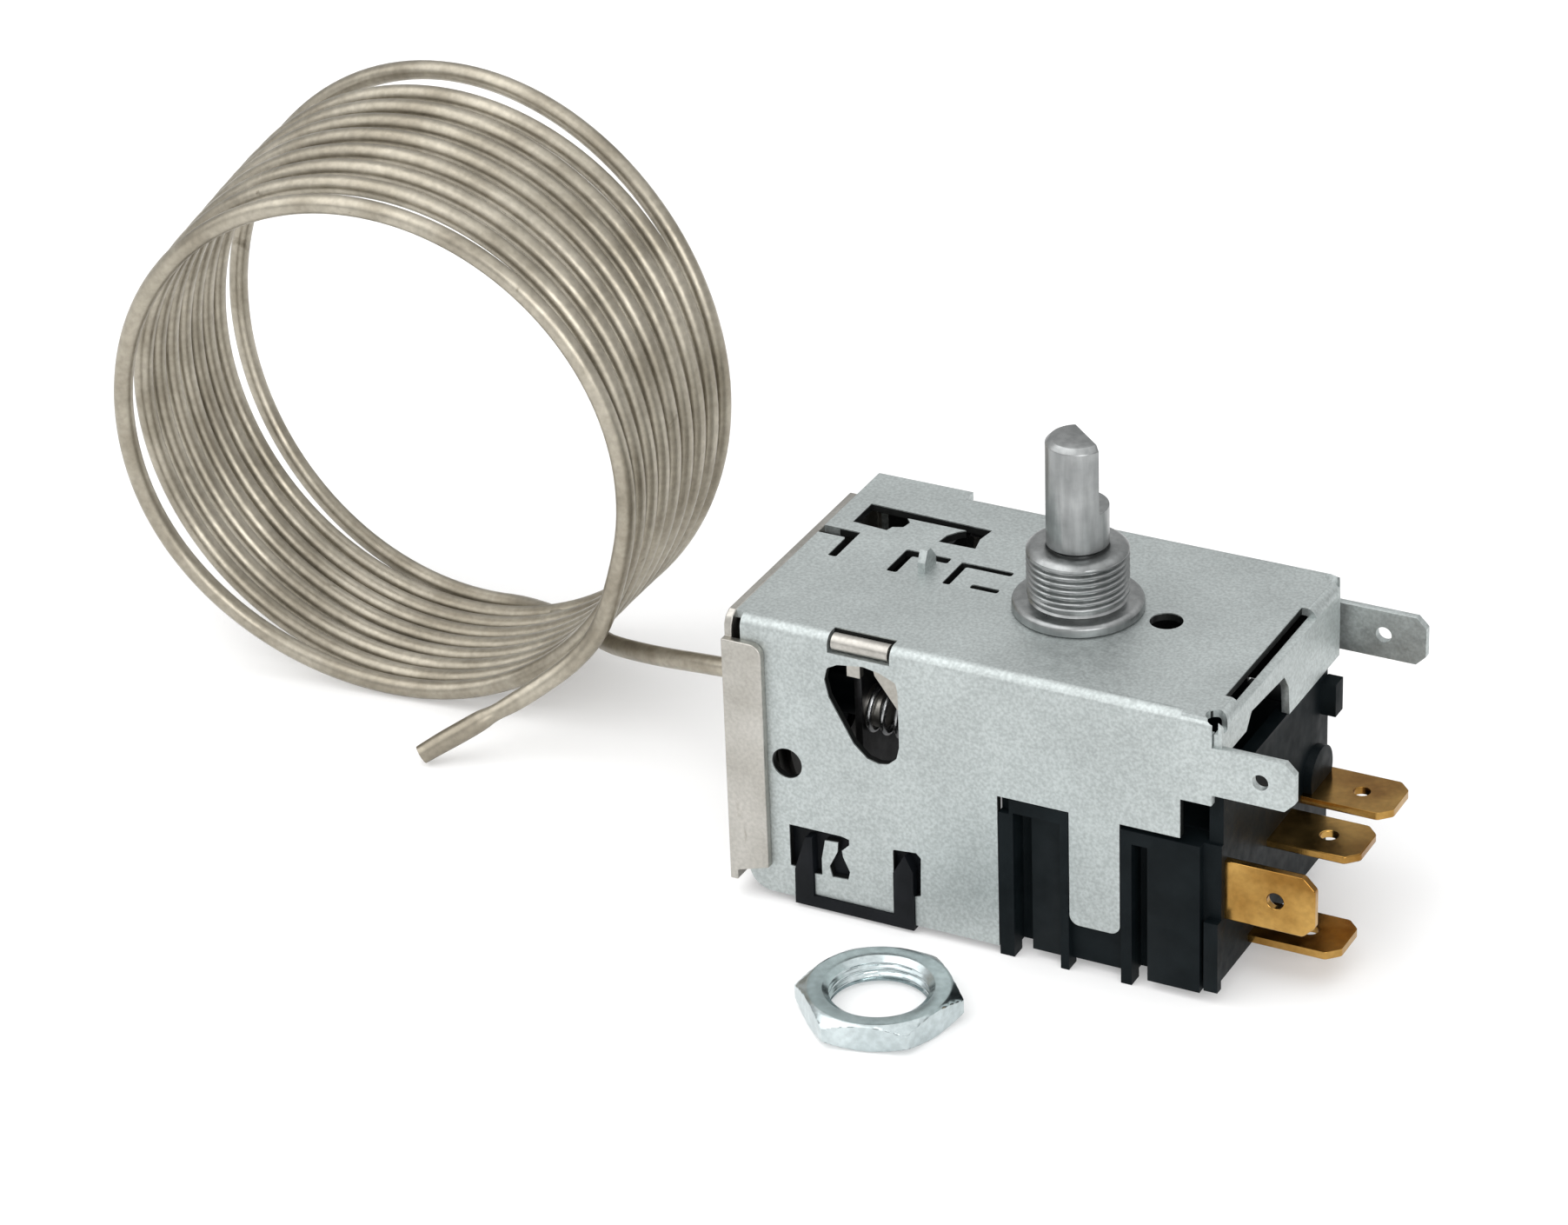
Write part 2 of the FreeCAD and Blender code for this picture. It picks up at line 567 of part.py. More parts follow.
def make_spindle():
    """Journal inside the bushing, and above it a thicker shaft: a round length, then the flatted length."""
    step = THREAD_TOP + JOURNAL_OUT
    flat_z = SPINDLE_TOP - FLAT_L
    plain = along_z(SPINDLE_R, step, flat_z, AXIS_X, AXIS_Y)
    flatted = along_z(SPINDLE_R, flat_z, SPINDLE_TOP, AXIS_X, AXIS_Y)
    flatted = flatted.makeChamfer(SPINDLE_CHAMFER,
                                  edges_where(flatted, lambda bb: bb.ZMin > SPINDLE_TOP - TINY))
    side = SPINDLE_R * 2
    waste = box(FLAT_OFFSET, side, -side, side, flat_z, SPINDLE_TOP + side)
    waste.rotate(V(0, 0, 0), V(0, 0, 1), FLAT_ANGLE)
    waste.translate(V(AXIS_X, AXIS_Y, 0))
    journal = along_z(JOURNAL_R, SPINDLE_BOTTOM, step, AXIS_X, AXIS_Y)
    groove = along_z(JOURNAL_R + TINY, RING_Z, RING_Z + RING_H, AXIS_X, AXIS_Y)
    groove = groove.cut(along_z(JOURNAL_R - RING_GROOVE, RING_Z, RING_Z + RING_H, AXIS_X, AXIS_Y))
    return plain.fuse(flatted.cut(waste)).fuse(journal.cut(groove))


def make_ring():
    """Open retaining ring in the spindle's groove."""
    ring = along_z(RING_R, RING_Z, RING_Z + RING_H, AXIS_X, AXIS_Y)
    ring = ring.cut(along_z(JOURNAL_R - RING_GROOVE, RING_Z, RING_Z + RING_H, AXIS_X, AXIS_Y))
    gap = JOURNAL_R - RING_GROOVE * 2
    return ring.cut(box(AXIS_X, AXIS_X + RING_R * 2, AXIS_Y - gap, AXIS_Y + gap, RING_Z - TINY,
                        RING_Z + RING_H + TINY))


def cam_radius(turn):
    """Radius that faces the lever nose after the spindle has turned by this angle in degrees."""
    rise = FULL_TURN - CAM_SWEEP - 2 * CAM_DWELL
    fall = CAM_R_MAX - CAM_R_MIN
    if turn <= CAM_SWEEP:
        return CAM_R_MAX - fall * turn / CAM_SWEEP
    if turn <= CAM_SWEEP + CAM_DWELL:
        return CAM_R_MIN
    if turn <= CAM_SWEEP + CAM_DWELL + rise:
        return CAM_R_MIN + fall * (turn - CAM_SWEEP - CAM_DWELL) / rise
    return CAM_R_MAX


def make_cam():
    points = []
    for step in range(CAM_STEPS):
        turn = FULL_TURN * step / CAM_STEPS
        heading = math.radians(FULL_TURN / 2 - turn)
        radius = cam_radius(turn)
        points.append(V(AXIS_X + radius * math.cos(heading), AXIS_Y + radius * math.sin(heading), CAM_Z))
    curve = Part.BSplineCurve()
    curve.interpolate(Points=points, PeriodicFlag=True)
    plate = Part.Face(Part.Wire([curve.toShape()])).extrude(V(0, 0, CAM_T))
    return plate.cut(along_z(JOURNAL_R, CAM_Z - TINY, CAM_Z + CAM_T + TINY, AXIS_X, AXIS_Y))


def make_range_lever():
    """Sheet lever hung on its pin: eye, blade, nose towards the cam and a wing behind the spring."""
    x0 = RANGE_PIN_X - LEVER_T / 2
    x1 = x0 + LEVER_T
    y0 = RANGE_LEVER_Y0
    y1 = RANGE_LEVER_Y1
    low = SPRING_Z - WING_R
    eye = along_y(RANGE_EYE_R, y0, y1, RANGE_PIN_X, RANGE_PIN_Z)
    blade = box(x0, x1, y0, y1, RANGE_LEVER_Z, RANGE_PIN_Z)
    wing = box(x0, x1, SPRING_Y - WING_R, y0 + SIDE_GAP, low, SPRING_Z + WING_R)
    arm_side = MID_Y - ARM_W / 2 - SIDE_GAP * 2
    relief = box(x0 - TINY, x1 + TINY, arm_side, y0 + SIDE_GAP + TINY, low - TINY, RANGE_LEVER_Z)
    tip = AXIS_X - CAM_R_MAX - NOSE_GAP
    nose_z = CAM_Z + (CAM_T - LEVER_T) / 2
    nose = box(x1 - TINY, tip - NOSE_R, AXIS_Y - NOSE_R, AXIS_Y + NOSE_R, nose_z, nose_z + LEVER_T)
    nose = nose.fuse(along_z(NOSE_R, nose_z, nose_z + LEVER_T, tip - NOSE_R, AXIS_Y))
    lever = eye.fuse(blade).fuse(wing).cut(relief).fuse(nose)
    return lever.cut(along_y(RANGE_PIN_R + RUN_FIT, y0 - TINY, y1 + TINY, RANGE_PIN_X, RANGE_PIN_Z))


def make_range_pin():
    end = PIN_LUG_Y1 + SHEET + SIDE_GAP
    return along_y(RANGE_PIN_R, PIN_LUG_Y0 - SIDE_GAP, end, RANGE_PIN_X, RANGE_PIN_Z)


def make_cheek(y0):
    """Cheek under the plate with a straight lug, a slanted strip and an eye for the lever's pin."""
    y1 = y0 + SHEET
    cheek = plate_xz(from_top(HANGER_OUTLINE), y0, y1)
    cheek = cheek.fuse(along_y(MAIN_EYE_R, y0, y1, MAIN_AXIS_X, MAIN_AXIS_Z))
    return cheek.cut(along_y(MAIN_PIN_R, y0 - TINY, y1 + TINY, MAIN_AXIS_X, MAIN_AXIS_Z))


def make_front_hanger():
    """Front cheek with the rolled hook that lies in the bend window."""
    hook_z = FRAME_H - BEND_WINDOW_DOWN + HOOK_R
    hook = along_x(HOOK_R, HOOK_X[0], HOOK_X[1], HOOK_R + HOOK_IN, hook_z)
    hook = hook.cut(along_y(MAIN_EYE_R, CHEEK_Y, CHEEK_Y + SHEET, MAIN_AXIS_X, MAIN_AXIS_Z))
    return make_cheek(CHEEK_Y).fuse(hook)


def make_main_lever():
    """Web in front of the plunger, ears on the pins and an arm over the switch button."""
    y0 = EAR_Y
    y1 = FRAME_D - EAR_Y
    top = MAIN_AXIS_Z + MAIN_PIN_R
    low = MAIN_AXIS_Z - EAR_BELOW
    body = box(WEB_X, WEB_X + LEVER_T, y0 + WEB_SHOULDER, y1 - WEB_SHOULDER, CAPSULE_Z - WEB_DOWN, top)
    body = body.fuse(box(WEB_X, WEB_X + LEVER_T, y0, y1, low, top))
    for near in (y0, y1 - SHEET):
        ear = box(WEB_X, MAIN_AXIS_X, near, near + SHEET, low, top)
        ear = ear.fuse(along_y(MAIN_EYE_R, near, near + SHEET, MAIN_AXIS_X, MAIN_AXIS_Z))
        body = body.fuse(ear)
        bore = along_y(MAIN_PIN_R + RUN_FIT, near - TINY, near + SHEET + TINY, MAIN_AXIS_X, MAIN_AXIS_Z)
        body = body.cut(bore)
    return body.fuse(box(WEB_X, ARM_END, MID_Y - ARM_W / 2, MID_Y + ARM_W / 2, ARM_Z, ARM_Z + LEVER_T))


def make_main_pins():
    """Two riveted stub pins, one in each cheek."""
    reach = EAR_Y + SHEET + SIDE_GAP
    front = along_y(MAIN_PIN_R, CHEEK_Y, reach, MAIN_AXIS_X, MAIN_AXIS_Z)
    back = along_y(MAIN_PIN_R, FRAME_D - reach, FRAME_D - CHEEK_Y, MAIN_AXIS_X, MAIN_AXIS_Z)
    return Part.makeCompound([front, back])


def make_spring():
    """Open coil spring between the web and the range lever."""
    x0 = WEB_X + LEVER_T + SPRING_WIRE_R
    x1 = RANGE_PIN_X - LEVER_T / 2 - SPRING_FREE - SPRING_WIRE_R
    turns = int((x1 - x0) / SPRING_PITCH)
    helix = Part.makeHelix((x1 - x0) / turns, x1 - x0, SPRING_R)
    wire = Part.Wire([Part.makeCircle(SPRING_WIRE_R, V(SPRING_R, 0, 0), V(0, 1, 0))])
    spring = Part.Wire(helix).makePipeShell([wire], True, True)
    spring.rotate(V(0, 0, 0), V(0, 1, 0), FULL_TURN / 4)
    spring = spring.mirror(V(0, 0, 0), V(0, 1, 0))
    spring.translate(V(x0, SPRING_Y, SPRING_Z))
    return spring


def make_spring_seat():
    """Collar on the lever that centres the spring."""
    x0 = WEB_X + LEVER_T
    return along_x(SPRING_SEAT_R, x0, x0 + LEVER_T * 2, SPRING_Y, SPRING_Z)


def make_bracket():
    """Sheet bracket round the left end: panel, front flange and back flange."""
    y_front = -BRACKET_T
    y_back = FRAME_D + BRACKET_T
    step_z = FRAME_H - BRACKET_STEP_DOWN
    slope = BEND_OUT / 3
    panel = plate_yz([(y_front, BRACKET_LOW), (y_back, BRACKET_LOW), (y_back, BRACKET_TOP),
                      (FRAME_D, step_z), (BRACKET_FLUSH_Y, step_z), (BRACKET_FLUSH_Y, FRAME_H),
                      (BEND_OUT, FRAME_H), (slope, FRAME_H - slope), (0, FRAME_H - BEND_OUT),
                      (0, BRACKET_TOP), (y_front, BRACKET_TOP)], BRACKET_X, PLATE_LEFT)
    flange_low = BRACKET_LOW + BRACKET_FLANGE_UP
    edge = [(BRACKET_X, flange_low), (BRACKET_FLANGE_X, flange_low + BRACKET_RISE),
            (BRACKET_FLANGE_X, BRACKET_TOP), (BRACKET_X, BRACKET_TOP)]
    body = panel
    for y0, y1 in ((y_front, 0), (FRAME_D, y_back)):
        flange = plate_xz(edge, y0, y1)
        corner = edges_where(flange, lambda bb: bb.XMin > BRACKET_FLANGE_X - TINY and bb.ZMin > BRACKET_TOP - TINY)
        body = body.fuse(flange.makeFillet(BRACKET_CORNER, corner))
    return body.cut(along_x(FERRULE_R, BRACKET_X - TINY, PLATE_LEFT + TINY, MID_Y, CAPSULE_Z))


def disc(radius, x0, x1):
    return along_x(radius, x0, x1, MID_Y, CAPSULE_Z)


def seam_x():
    """Where the outer shell's rim meets the membrane."""
    return PLATE_LEFT + SHELL_T + SHELL_DEPTH


def make_outer_shell():
    back = PLATE_LEFT
    seam = seam_x()
    inner_r = SHELL_R - RIM_W - SHELL_T
    cup = disc(SHELL_R - RIM_W, back, seam).cut(disc(inner_r, back + SHELL_T, seam + TINY))
    rim = disc(SHELL_R, seam - SHELL_T, seam).cut(disc(inner_r, back, seam + TINY))
    return cup.fuse(rim).cut(disc(TUBE_R, back - TINY, seam))


def make_membrane():
    """Thin disc with rings pressed in it, held between the shells."""
    seam = seam_x()
    body = disc(SHELL_R, seam, seam + MEMBRANE_T)
    step = (SHELL_R - RIM_W * 2) / (MEMBRANE_STEPS + 1)
    for ring in range(1, MEMBRANE_STEPS + 1):
        radius = step * (ring + 0.5)
        body = body.fuse(disc(radius + WAVE, seam - WAVE, seam).cut(disc(radius - WAVE, seam - WAVE, seam)))
    return body


def make_inner_shell():
    seam = seam_x() + MEMBRANE_T
    inner_r = SHELL_R - RIM_W - SHELL_T
    plate = disc(SHELL_R, seam, seam + SHELL_T).cut(disc(inner_r, seam - TINY, seam + SHELL_T))
    front = disc(SHELL_R - RIM_W, seam, seam + SHELL_DEPTH)
    front = front.cut(disc(inner_r, seam - TINY, seam + SHELL_DEPTH - SHELL_T))
    return plate.fuse(front).cut(disc(OPENING_R, seam - TINY, seam + SHELL_DEPTH + TINY))


def make_plunger():
    x0 = seam_x() + MEMBRANE_T + TOUCH
    tip = WEB_X - TOUCH
    stem = disc(STEM_R, x0, tip)
    stem = stem.makeFillet(DOME * 3, edges_where(stem, lambda bb: bb.XMin > tip - TINY))
    return disc(PAD_R, x0, x0 + PAD_T).fuse(stem)


def make_housing():
    """Moulded switch box with lugs that fill the cut-outs of both walls, and its outer feet."""
    y0 = HOUSE_SIDE
    body = box(HOUSE_X0, HOUSE_END_X, y0, HOUSE_Y1, HOUSE_LOW, HOUSE_TOP)
    body = body.fuse(box(HOUSE_END_X - TINY, HOUSE_X1, y0, HOUSE_END_Y, HOUSE_FLOOR, HOUSE_END_TOP))
    body = body.cut(box(HOUSE_END_X - SHEET, FRAME_L, y0 - TINY, y0 + SIDE_GAP * 2, HOUSE_TOP, FRAME_H))
    for front in (True, False):
        body = wall_lugs(body, front)
    body = body.fuse(box(HOUSE_END_X, HOUSE_X1, 0, y0 + TINY, CORNER_RIB_LOW, HOUSE_TOP / 2))
    block_z = FRAME_H - END_BLOCK_DOWN
    block_y = HOUSE_END_Y + END_BLOCK_OVER
    body = body.fuse(box(HOUSE_X1, HOUSE_X1 + END_BLOCK_L, block_y - END_BLOCK_W, block_y, block_z,
                         block_z + END_BLOCK_H))
    body = body.fuse(along_x(END_BOSS_R, HOUSE_X1, HOUSE_X1 + END_BOSS_L, BACK_Y, HOUSE_TOP - END_BOSS_DOWN))
    body = body.cut(box(HOUSE_X0 + COVER_IN, HOUSE_X1 - COVER_OUT, COVER_SIDE, FRAME_D - COVER_SIDE, COVER_Z,
                        HOUSE_TOP))
    body = body.cut(box(CAVITY_X0, CAVITY_X1, CAVITY_SIDE, FRAME_D - CAVITY_SIDE, HOUSE_FLOOR, HOUSE_TOP))
    body = body.fuse(housing_ledges())
    for held in (make_back_terminal(), make_middle_terminal(), make_front_terminal(), make_low_terminal(),
                 make_rivets()):
        body = body.cut(held)
    return body


def wall_lugs(body, front):
    """Adds the ribbed lugs standing in the cut-outs of one wall, with feet and deep grooves."""
    y0 = 0 if front else HOUSE_Y1
    y1 = HOUSE_SIDE if front else FRAME_D
    one_end = HOUSE_X0 + LUG_ONE_L
    rib_one_end = HOUSE_X0 + RIB_ONE_L
    rib_two_start = one_end - RIB_TWO_L
    rib_three_end = LUG_TWO_X0 + RIB_THREE_L
    body = body.fuse(box(HOUSE_X0, one_end, y0, y1, HOUSE_LOW, HOUSE_TOP + LUG_ONE_UP))
    body = body.fuse(box(LUG_TWO_X0, HOUSE_X1 - LUG_TWO_OUT, y0, y1, HOUSE_LOW, HOUSE_TOP))
    face_y0 = y0 - TINY if front else y1 - CHANNEL_DEEP
    face_y1 = face_y0 + CHANNEL_DEEP + TINY
    deep_y0 = face_y0 if front else y1 - GROOVE_DEEP
    deep_y1 = deep_y0 + GROOVE_DEEP + TINY
    body = body.cut(box(rib_one_end, rib_two_start, face_y0, face_y1, 0, HOUSE_TOP - CHANNEL_ONE_DOWN))
    for start, length, down in ((rib_one_end, GROOVE_L, CHANNEL_ONE_DOWN),
                                (rib_three_end, CHANNEL_TWO_L, CHANNEL_TWO_DOWN)):
        body = body.cut(box(start, start + length, deep_y0, deep_y1, HOUSE_LOW - TINY, HOUSE_TOP - down))
    body = body.cut(box(HOUSE_X0 - TINY, HOUSE_X0 + STEP_CUT_L, y0 - TINY, y1 + TINY,
                        HOUSE_TOP - STEP_CUT_DOWN, WALL_CUT_TOP))
    foot_y1 = y1 + SHEET if front else y1
    foot_y0 = y0 if front else y0 - SHEET
    for x0, x1 in ((HOUSE_X0, rib_one_end), (rib_two_start, one_end), (LUG_TWO_X0, rib_three_end)):
        body = body.fuse(box(x0, x1, foot_y0, foot_y1, FOOT_Z, HOUSE_LOW + SHEET))
    return body


def housing_ledges():
    """Pillars in the housing under the riveted strips."""
    low = HOUSE_FLOOR - TINY
    back = box(RIVET_BACK[0] - LEDGE_HALF, RIVET_BACK[0] + LEDGE_HALF, STRIP_Y0, STRIP_Y1, low, BACK_Z)
    under_low = box(BLADE_IN, CAVITY_X1, LOW_Y - BLADE_W / 2, LOW_Y + BLADE_W / 2, low, LOW_Z)
    shelf = box(SHELF_X, BLADE_IN + BLADE_T, MID_Y - ARM_BLADE_W / 2, MID_Y + ARM_BLADE_W / 2, low, SHELF_Z)
    return back.fuse(under_low).fuse(shelf)


def blade_outline(start, middle):
    """Outline of a blade along X with a chamfered tip."""
    low = middle - BLADE_W / 2
    high = middle + BLADE_W / 2
    tip = BLADE_TIP - BLADE_TIP_CHAMFER
    return [(start, low), (tip, low), (BLADE_TIP, low + BLADE_TIP_CHAMFER),
            (BLADE_TIP, high - BLADE_TIP_CHAMFER), (tip, high), (start, high)]


def round_tip(blade, across):
    """Rounds the corners of a blade's chamfered tip."""
    return blade.makeFillet(BLADE_TIP_ROUND, edges_where(blade, across))


def flat_blade(y, z):
    """A level blade of one terminal, drilled near its tip."""
    blade = plate_xy(blade_outline(BLADE_IN, y), z, z + BLADE_T)
    blade = round_tip(blade, lambda bb: bb.XMin > FRAME_L and bb.XLength < TINY and bb.YLength < TINY)
    hole_x = BLADE_TIP - BLADE_HOLE_FROM_TIP
    return blade.cut(along_z(BLADE_HOLE_R, z - TINY, z + BLADE_T + TINY, hole_x, y))


def make_back_terminal():
    """Blade with a strip that reaches over the moving contact."""
    start = CONTACT_X - BRANCH_HALF
    top = BACK_Z + BLADE_T
    body = flat_blade(BACK_Y, BACK_Z)
    body = body.fuse(box(start, BLADE_IN + BLADE_T, STRIP_Y0, STRIP_Y1, BACK_Z, top))
    body = body.fuse(box(start, CONTACT_X + BRANCH_HALF, BRANCH_Y, STRIP_Y1, BACK_Z, top))
    return body.cut(along_z(RIVET_R, BACK_Z - TINY, top + TINY, RIVET_BACK[0], RIVET_BACK[1]))


def make_middle_terminal():
    """Blade bent down inside to a shelf that carries the root of the contact blade."""
    body = flat_blade(MIDDLE_Y, MIDDLE_Z)
    y0 = MID_Y - ARM_BLADE_W / 2
    y1 = MID_Y + ARM_BLADE_W / 2
    body = body.fuse(box(BLADE_IN, BLADE_IN + BLADE_T, y0, y1, SHELF_Z, MIDDLE_Z + BLADE_T))
    return body.fuse(box(SHELF_X, BLADE_IN + BLADE_T, y0, y1, SHELF_Z, SHELF_Z + BLADE_T))


def make_front_terminal():
    """Upright blade along the front of the housing."""
    blade = plate_xz(blade_outline(FRONT_IN, FRONT_Z), FRONT_Y, FRONT_Y + BLADE_T)
    blade = round_tip(blade, lambda bb: bb.XMin > FRAME_L and bb.XLength < TINY and bb.ZLength < TINY)
    return blade.cut(along_y(BLADE_HOLE_R, FRONT_Y - TINY, FRONT_Y + BLADE_T + TINY,
                             BLADE_TIP - BLADE_HOLE_FROM_TIP, FRONT_Z))


def make_low_terminal():
    body = flat_blade(LOW_Y, LOW_Z)
    return body.cut(along_z(RIVET_R, LOW_Z - TINY, LOW_Z + BLADE_T + TINY, RIVET_LOW[0], RIVET_LOW[1]))


def make_rivets():
    pins = []
    for (x, y), z in ((RIVET_BACK, BACK_Z), (RIVET_LOW, LOW_Z)):
        top = z + BLADE_T
        shank = along_z(RIVET_R, top - RIVET_L, top, x, y)
        pins.append(shank.fuse(along_z(RIVET_HEAD_R, top, top + RIVET_HEAD_T, x, y)))
    return Part.makeCompound(pins)


def make_cover():
    plate = box(HOUSE_X0 + COVER_IN + TOUCH, HOUSE_X1 - COVER_OUT - TOUCH, COVER_SIDE + TOUCH,
                FRAME_D - COVER_SIDE - TOUCH, COVER_Z, HOUSE_TOP)
    for radius, x, y in ((BUTTON_R, BUTTON_X, MID_Y), (SCREW_R, SCREW_X, SCREW_Y)):
        plate = plate.cut(along_z(radius + RUN_FIT, COVER_Z - TINY, HOUSE_TOP + TINY, x, y))
    return plate


def make_button():
    stem = along_z(BUTTON_R, ARM_BLADE_TOP + TOUCH, ARM_Z - TOUCH, BUTTON_X, MID_Y)
    stem = stem.makeFillet(DOME * 2, edges_where(stem, lambda bb: bb.ZLength < TINY))
    top = BUTTON_COLLAR_Z + BUTTON_COLLAR_T
    return stem.fuse(along_z(BUTTON_COLLAR_R, BUTTON_COLLAR_Z, top, BUTTON_X, MID_Y))


def make_contact_blade():
    y0 = MID_Y - ARM_BLADE_W / 2
    y1 = MID_Y + ARM_BLADE_W / 2
    strip = box(CONTACT_X - ARM_BLADE_OVER, ROOT_X, y0, y1, ARM_BLADE_TOP - ARM_BLADE_T, ARM_BLADE_TOP)
    return strip.fuse(along_y(ROOT_R, y0, y1, ROOT_X, ROOT_Z))


def make_moving_contact():
    return along_z(CONTACT_R, ARM_BLADE_TOP, ARM_BLADE_TOP + MOVING_T, CONTACT_X, MID_Y)


def make_fixed_contact():
    return along_z(CONTACT_R, BACK_Z - FIXED_T, BACK_Z, CONTACT_X, MID_Y)


def make_screw():
    body = along_z(SCREW_R, SCREW_TIP, SCREW_HEAD_Z0, SCREW_X, SCREW_Y)
    body = body.fuse(along_z(SCREW_HEAD_R, SCREW_HEAD_Z0, SCREW_HEAD_Z1, SCREW_X, SCREW_Y))
    return body.cut(box(SCREW_X - SCREW_HEAD_R, SCREW_X + SCREW_HEAD_R, SCREW_Y - SCREW_SLOT / 2,
                        SCREW_Y + SCREW_SLOT / 2, SCREW_HEAD_Z1 - SCREW_SLOT_DEEP, SCREW_HEAD_Z1 + TINY))


def make_clip():
    """Plastic clip on the front wall's foot: a bar under the edge, two tapered arms and a plate behind."""
    left, right, top = CLIP_PLATE
    body = box(CLIP_ARM_ONE[0][0], CLIP_ARM_TWO[1][0], CLIP_FRONT, CLIP_BACK, CLIP_BOTTOM, CLIP_BAR_TOP)
    for outline in (CLIP_ARM_ONE, CLIP_ARM_TWO):
        body = body.fuse(plate_xz(outline, CLIP_FRONT, CLIP_BACK))
    return body.fuse(box(left, right, SHEET + TOUCH, CLIP_BACK, HOUSE_LOW, top))


def make_nut():
    half = NUT_AF / 2
    corner = half / math.cos(math.pi / NUT_SIDES)
    centre = V(NUT_X, NUT_Y, FOOT_Z)
    points = []
    for step in range(NUT_SIDES):
        heading = math.radians(FULL_TURN / NUT_SIDES * step + NUT_TURN)
        points.append(centre + V(corner * math.cos(heading), corner * math.sin(heading), 0))
    body = face_of(points).extrude(V(0, 0, NUT_T))
    cone = Part.makeCone(corner + NUT_T, half - NUT_CHAMFER / 3, NUT_T + NUT_CHAMFER, centre, V(0, 0, 1))
    return body.common(cone).cut(along_z(NUT_BORE_R, FOOT_Z - TINY, FOOT_Z + NUT_T + TINY, NUT_X, NUT_Y))


def tube(points):
    """Solid rod along straight runs joined by tangent arcs; prints its bend radii."""
    pts = [V(*p) for p in points]
    edges = []
    start = pts[0]
    radii = []
    for i in range(1, len(pts) - 1):
        before = pts[i] - pts[i - 1]
        after = pts[i + 1] - pts[i]
        half_turn = before.getAngle(after) / 2
        trim = BEND_SHARE * min(before.Length, after.Length)
        radius = trim / math.tan(half_turn)
        radii.append(round(radius, 1))
        first = pts[i] - before.normalize() * trim
        last = pts[i] + after.normalize() * trim
        inward = (after - before).normalize()
        middle = pts[i] + inward * (radius / math.cos(half_turn) - radius)
        edges.append(Part.makeLine(start, first))
        edges.append(Part.Arc(first, middle, last).toShape())
        start = last
    edges.append(Part.makeLine(start, pts[-1]))
    path = Part.Wire(edges)
    heading = (pts[1] - pts[0]).normalize()
    ring = Part.Wire([Part.makeCircle(TUBE_R, pts[0], heading)])
    rod = path.makePipeShell([ring], True, True)
    print("bend radii", radii, "length", round(path.Length, 1), "volume share",
          round(rod.Volume / (math.pi * TUBE_R * TUBE_R * path.Length), 4))
    return rod


def coil_ring(centre, lean, tip, radius, shift):
    a = math.radians(lean)
    b = math.radians(tip)
    normal = V(math.cos(b) * math.sin(a), math.cos(b) * math.cos(a), math.sin(b))
    return Part.Wire([Part.makeCircle(radius, V(*centre) + normal * shift, normal)])


def make_coil():
    """The envelope of all turns: a ring between the nearest and the farthest turn."""
    near = (COIL_NEAR_AT, COIL_NEAR_LEAN, COIL_NEAR_TIP)
    far = (COIL_FAR_AT, COIL_FAR_LEAN, COIL_FAR_TIP)
    outer = Part.makeLoft([coil_ring(*near, COIL_NEAR_R + TUBE_R, -TUBE_R),
                           coil_ring(*far, COIL_FAR_R + TUBE_R, TUBE_R)], True, True)
    inner = Part.makeLoft([coil_ring(*near, COIL_NEAR_R - TUBE_R, -TUBE_R * 2),
                           coil_ring(*far, COIL_FAR_R - TUBE_R, TUBE_R * 2)], True, True)
    return outer.cut(inner)


def make_ferrule(lead):
    sleeve = along_x(FERRULE_R, BRACKET_X - FERRULE_L, PLATE_LEFT, MID_Y, CAPSULE_Z)
    return sleeve.cut(lead).cut(disc(TUBE_R, BRACKET_X, SHEET))


put("housing_frame", make_frame())
put("bushing", make_bushing())
put("spindle", make_spindle(), merge=False)
put("spindle_ring", make_ring())
put("range_cam", make_cam())
put("range_lever", make_range_lever())
put("range_lever_pin", make_range_pin())
put("hanger_front", make_front_hanger())
put("hanger_back", make_cheek(FRAME_D - CHEEK_Y - SHEET))
put("main_lever", make_main_lever())
put("main_lever_pins", make_main_pins())
put("range_spring", make_spring())
put("spring_seat", make_spring_seat())
put("capsule_bracket", make_bracket())
put("capsule_outer_shell", make_outer_shell())
put("capsule_membrane", make_membrane())
put("capsule_inner_shell", make_inner_shell())
put("plunger", make_plunger())
put("switch_housing", make_housing())
put("switch_cover", make_cover())
put("terminal_back", make_back_terminal())
put("terminal_middle", make_middle_terminal())
put("terminal_front", make_front_terminal())
put("terminal_low", make_low_terminal())
put("terminal_rivets", make_rivets())
put("switch_button", make_button())
put("contact_blade", make_contact_blade())
put("moving_contact", make_moving_contact())
put("fixed_contact", make_fixed_contact())
put("differential_screw", make_screw())
put("insulating_clip", make_clip())
put("mounting_nut", make_nut())
COIL = make_coil()
LEAD = tube(LEAD_ROUTE)
TAIL = tube(TAIL_ROUTE)
put("capillary_ferrule", make_ferrule(LEAD))
put("capillary_coil", COIL)
put("capillary_lead", largest(LEAD.cut(COIL)))
put("capillary_tail", largest(TAIL.cut(COIL)))
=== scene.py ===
import json
import math
import bpy
import bmesh
from mathutils import Matrix, Vector


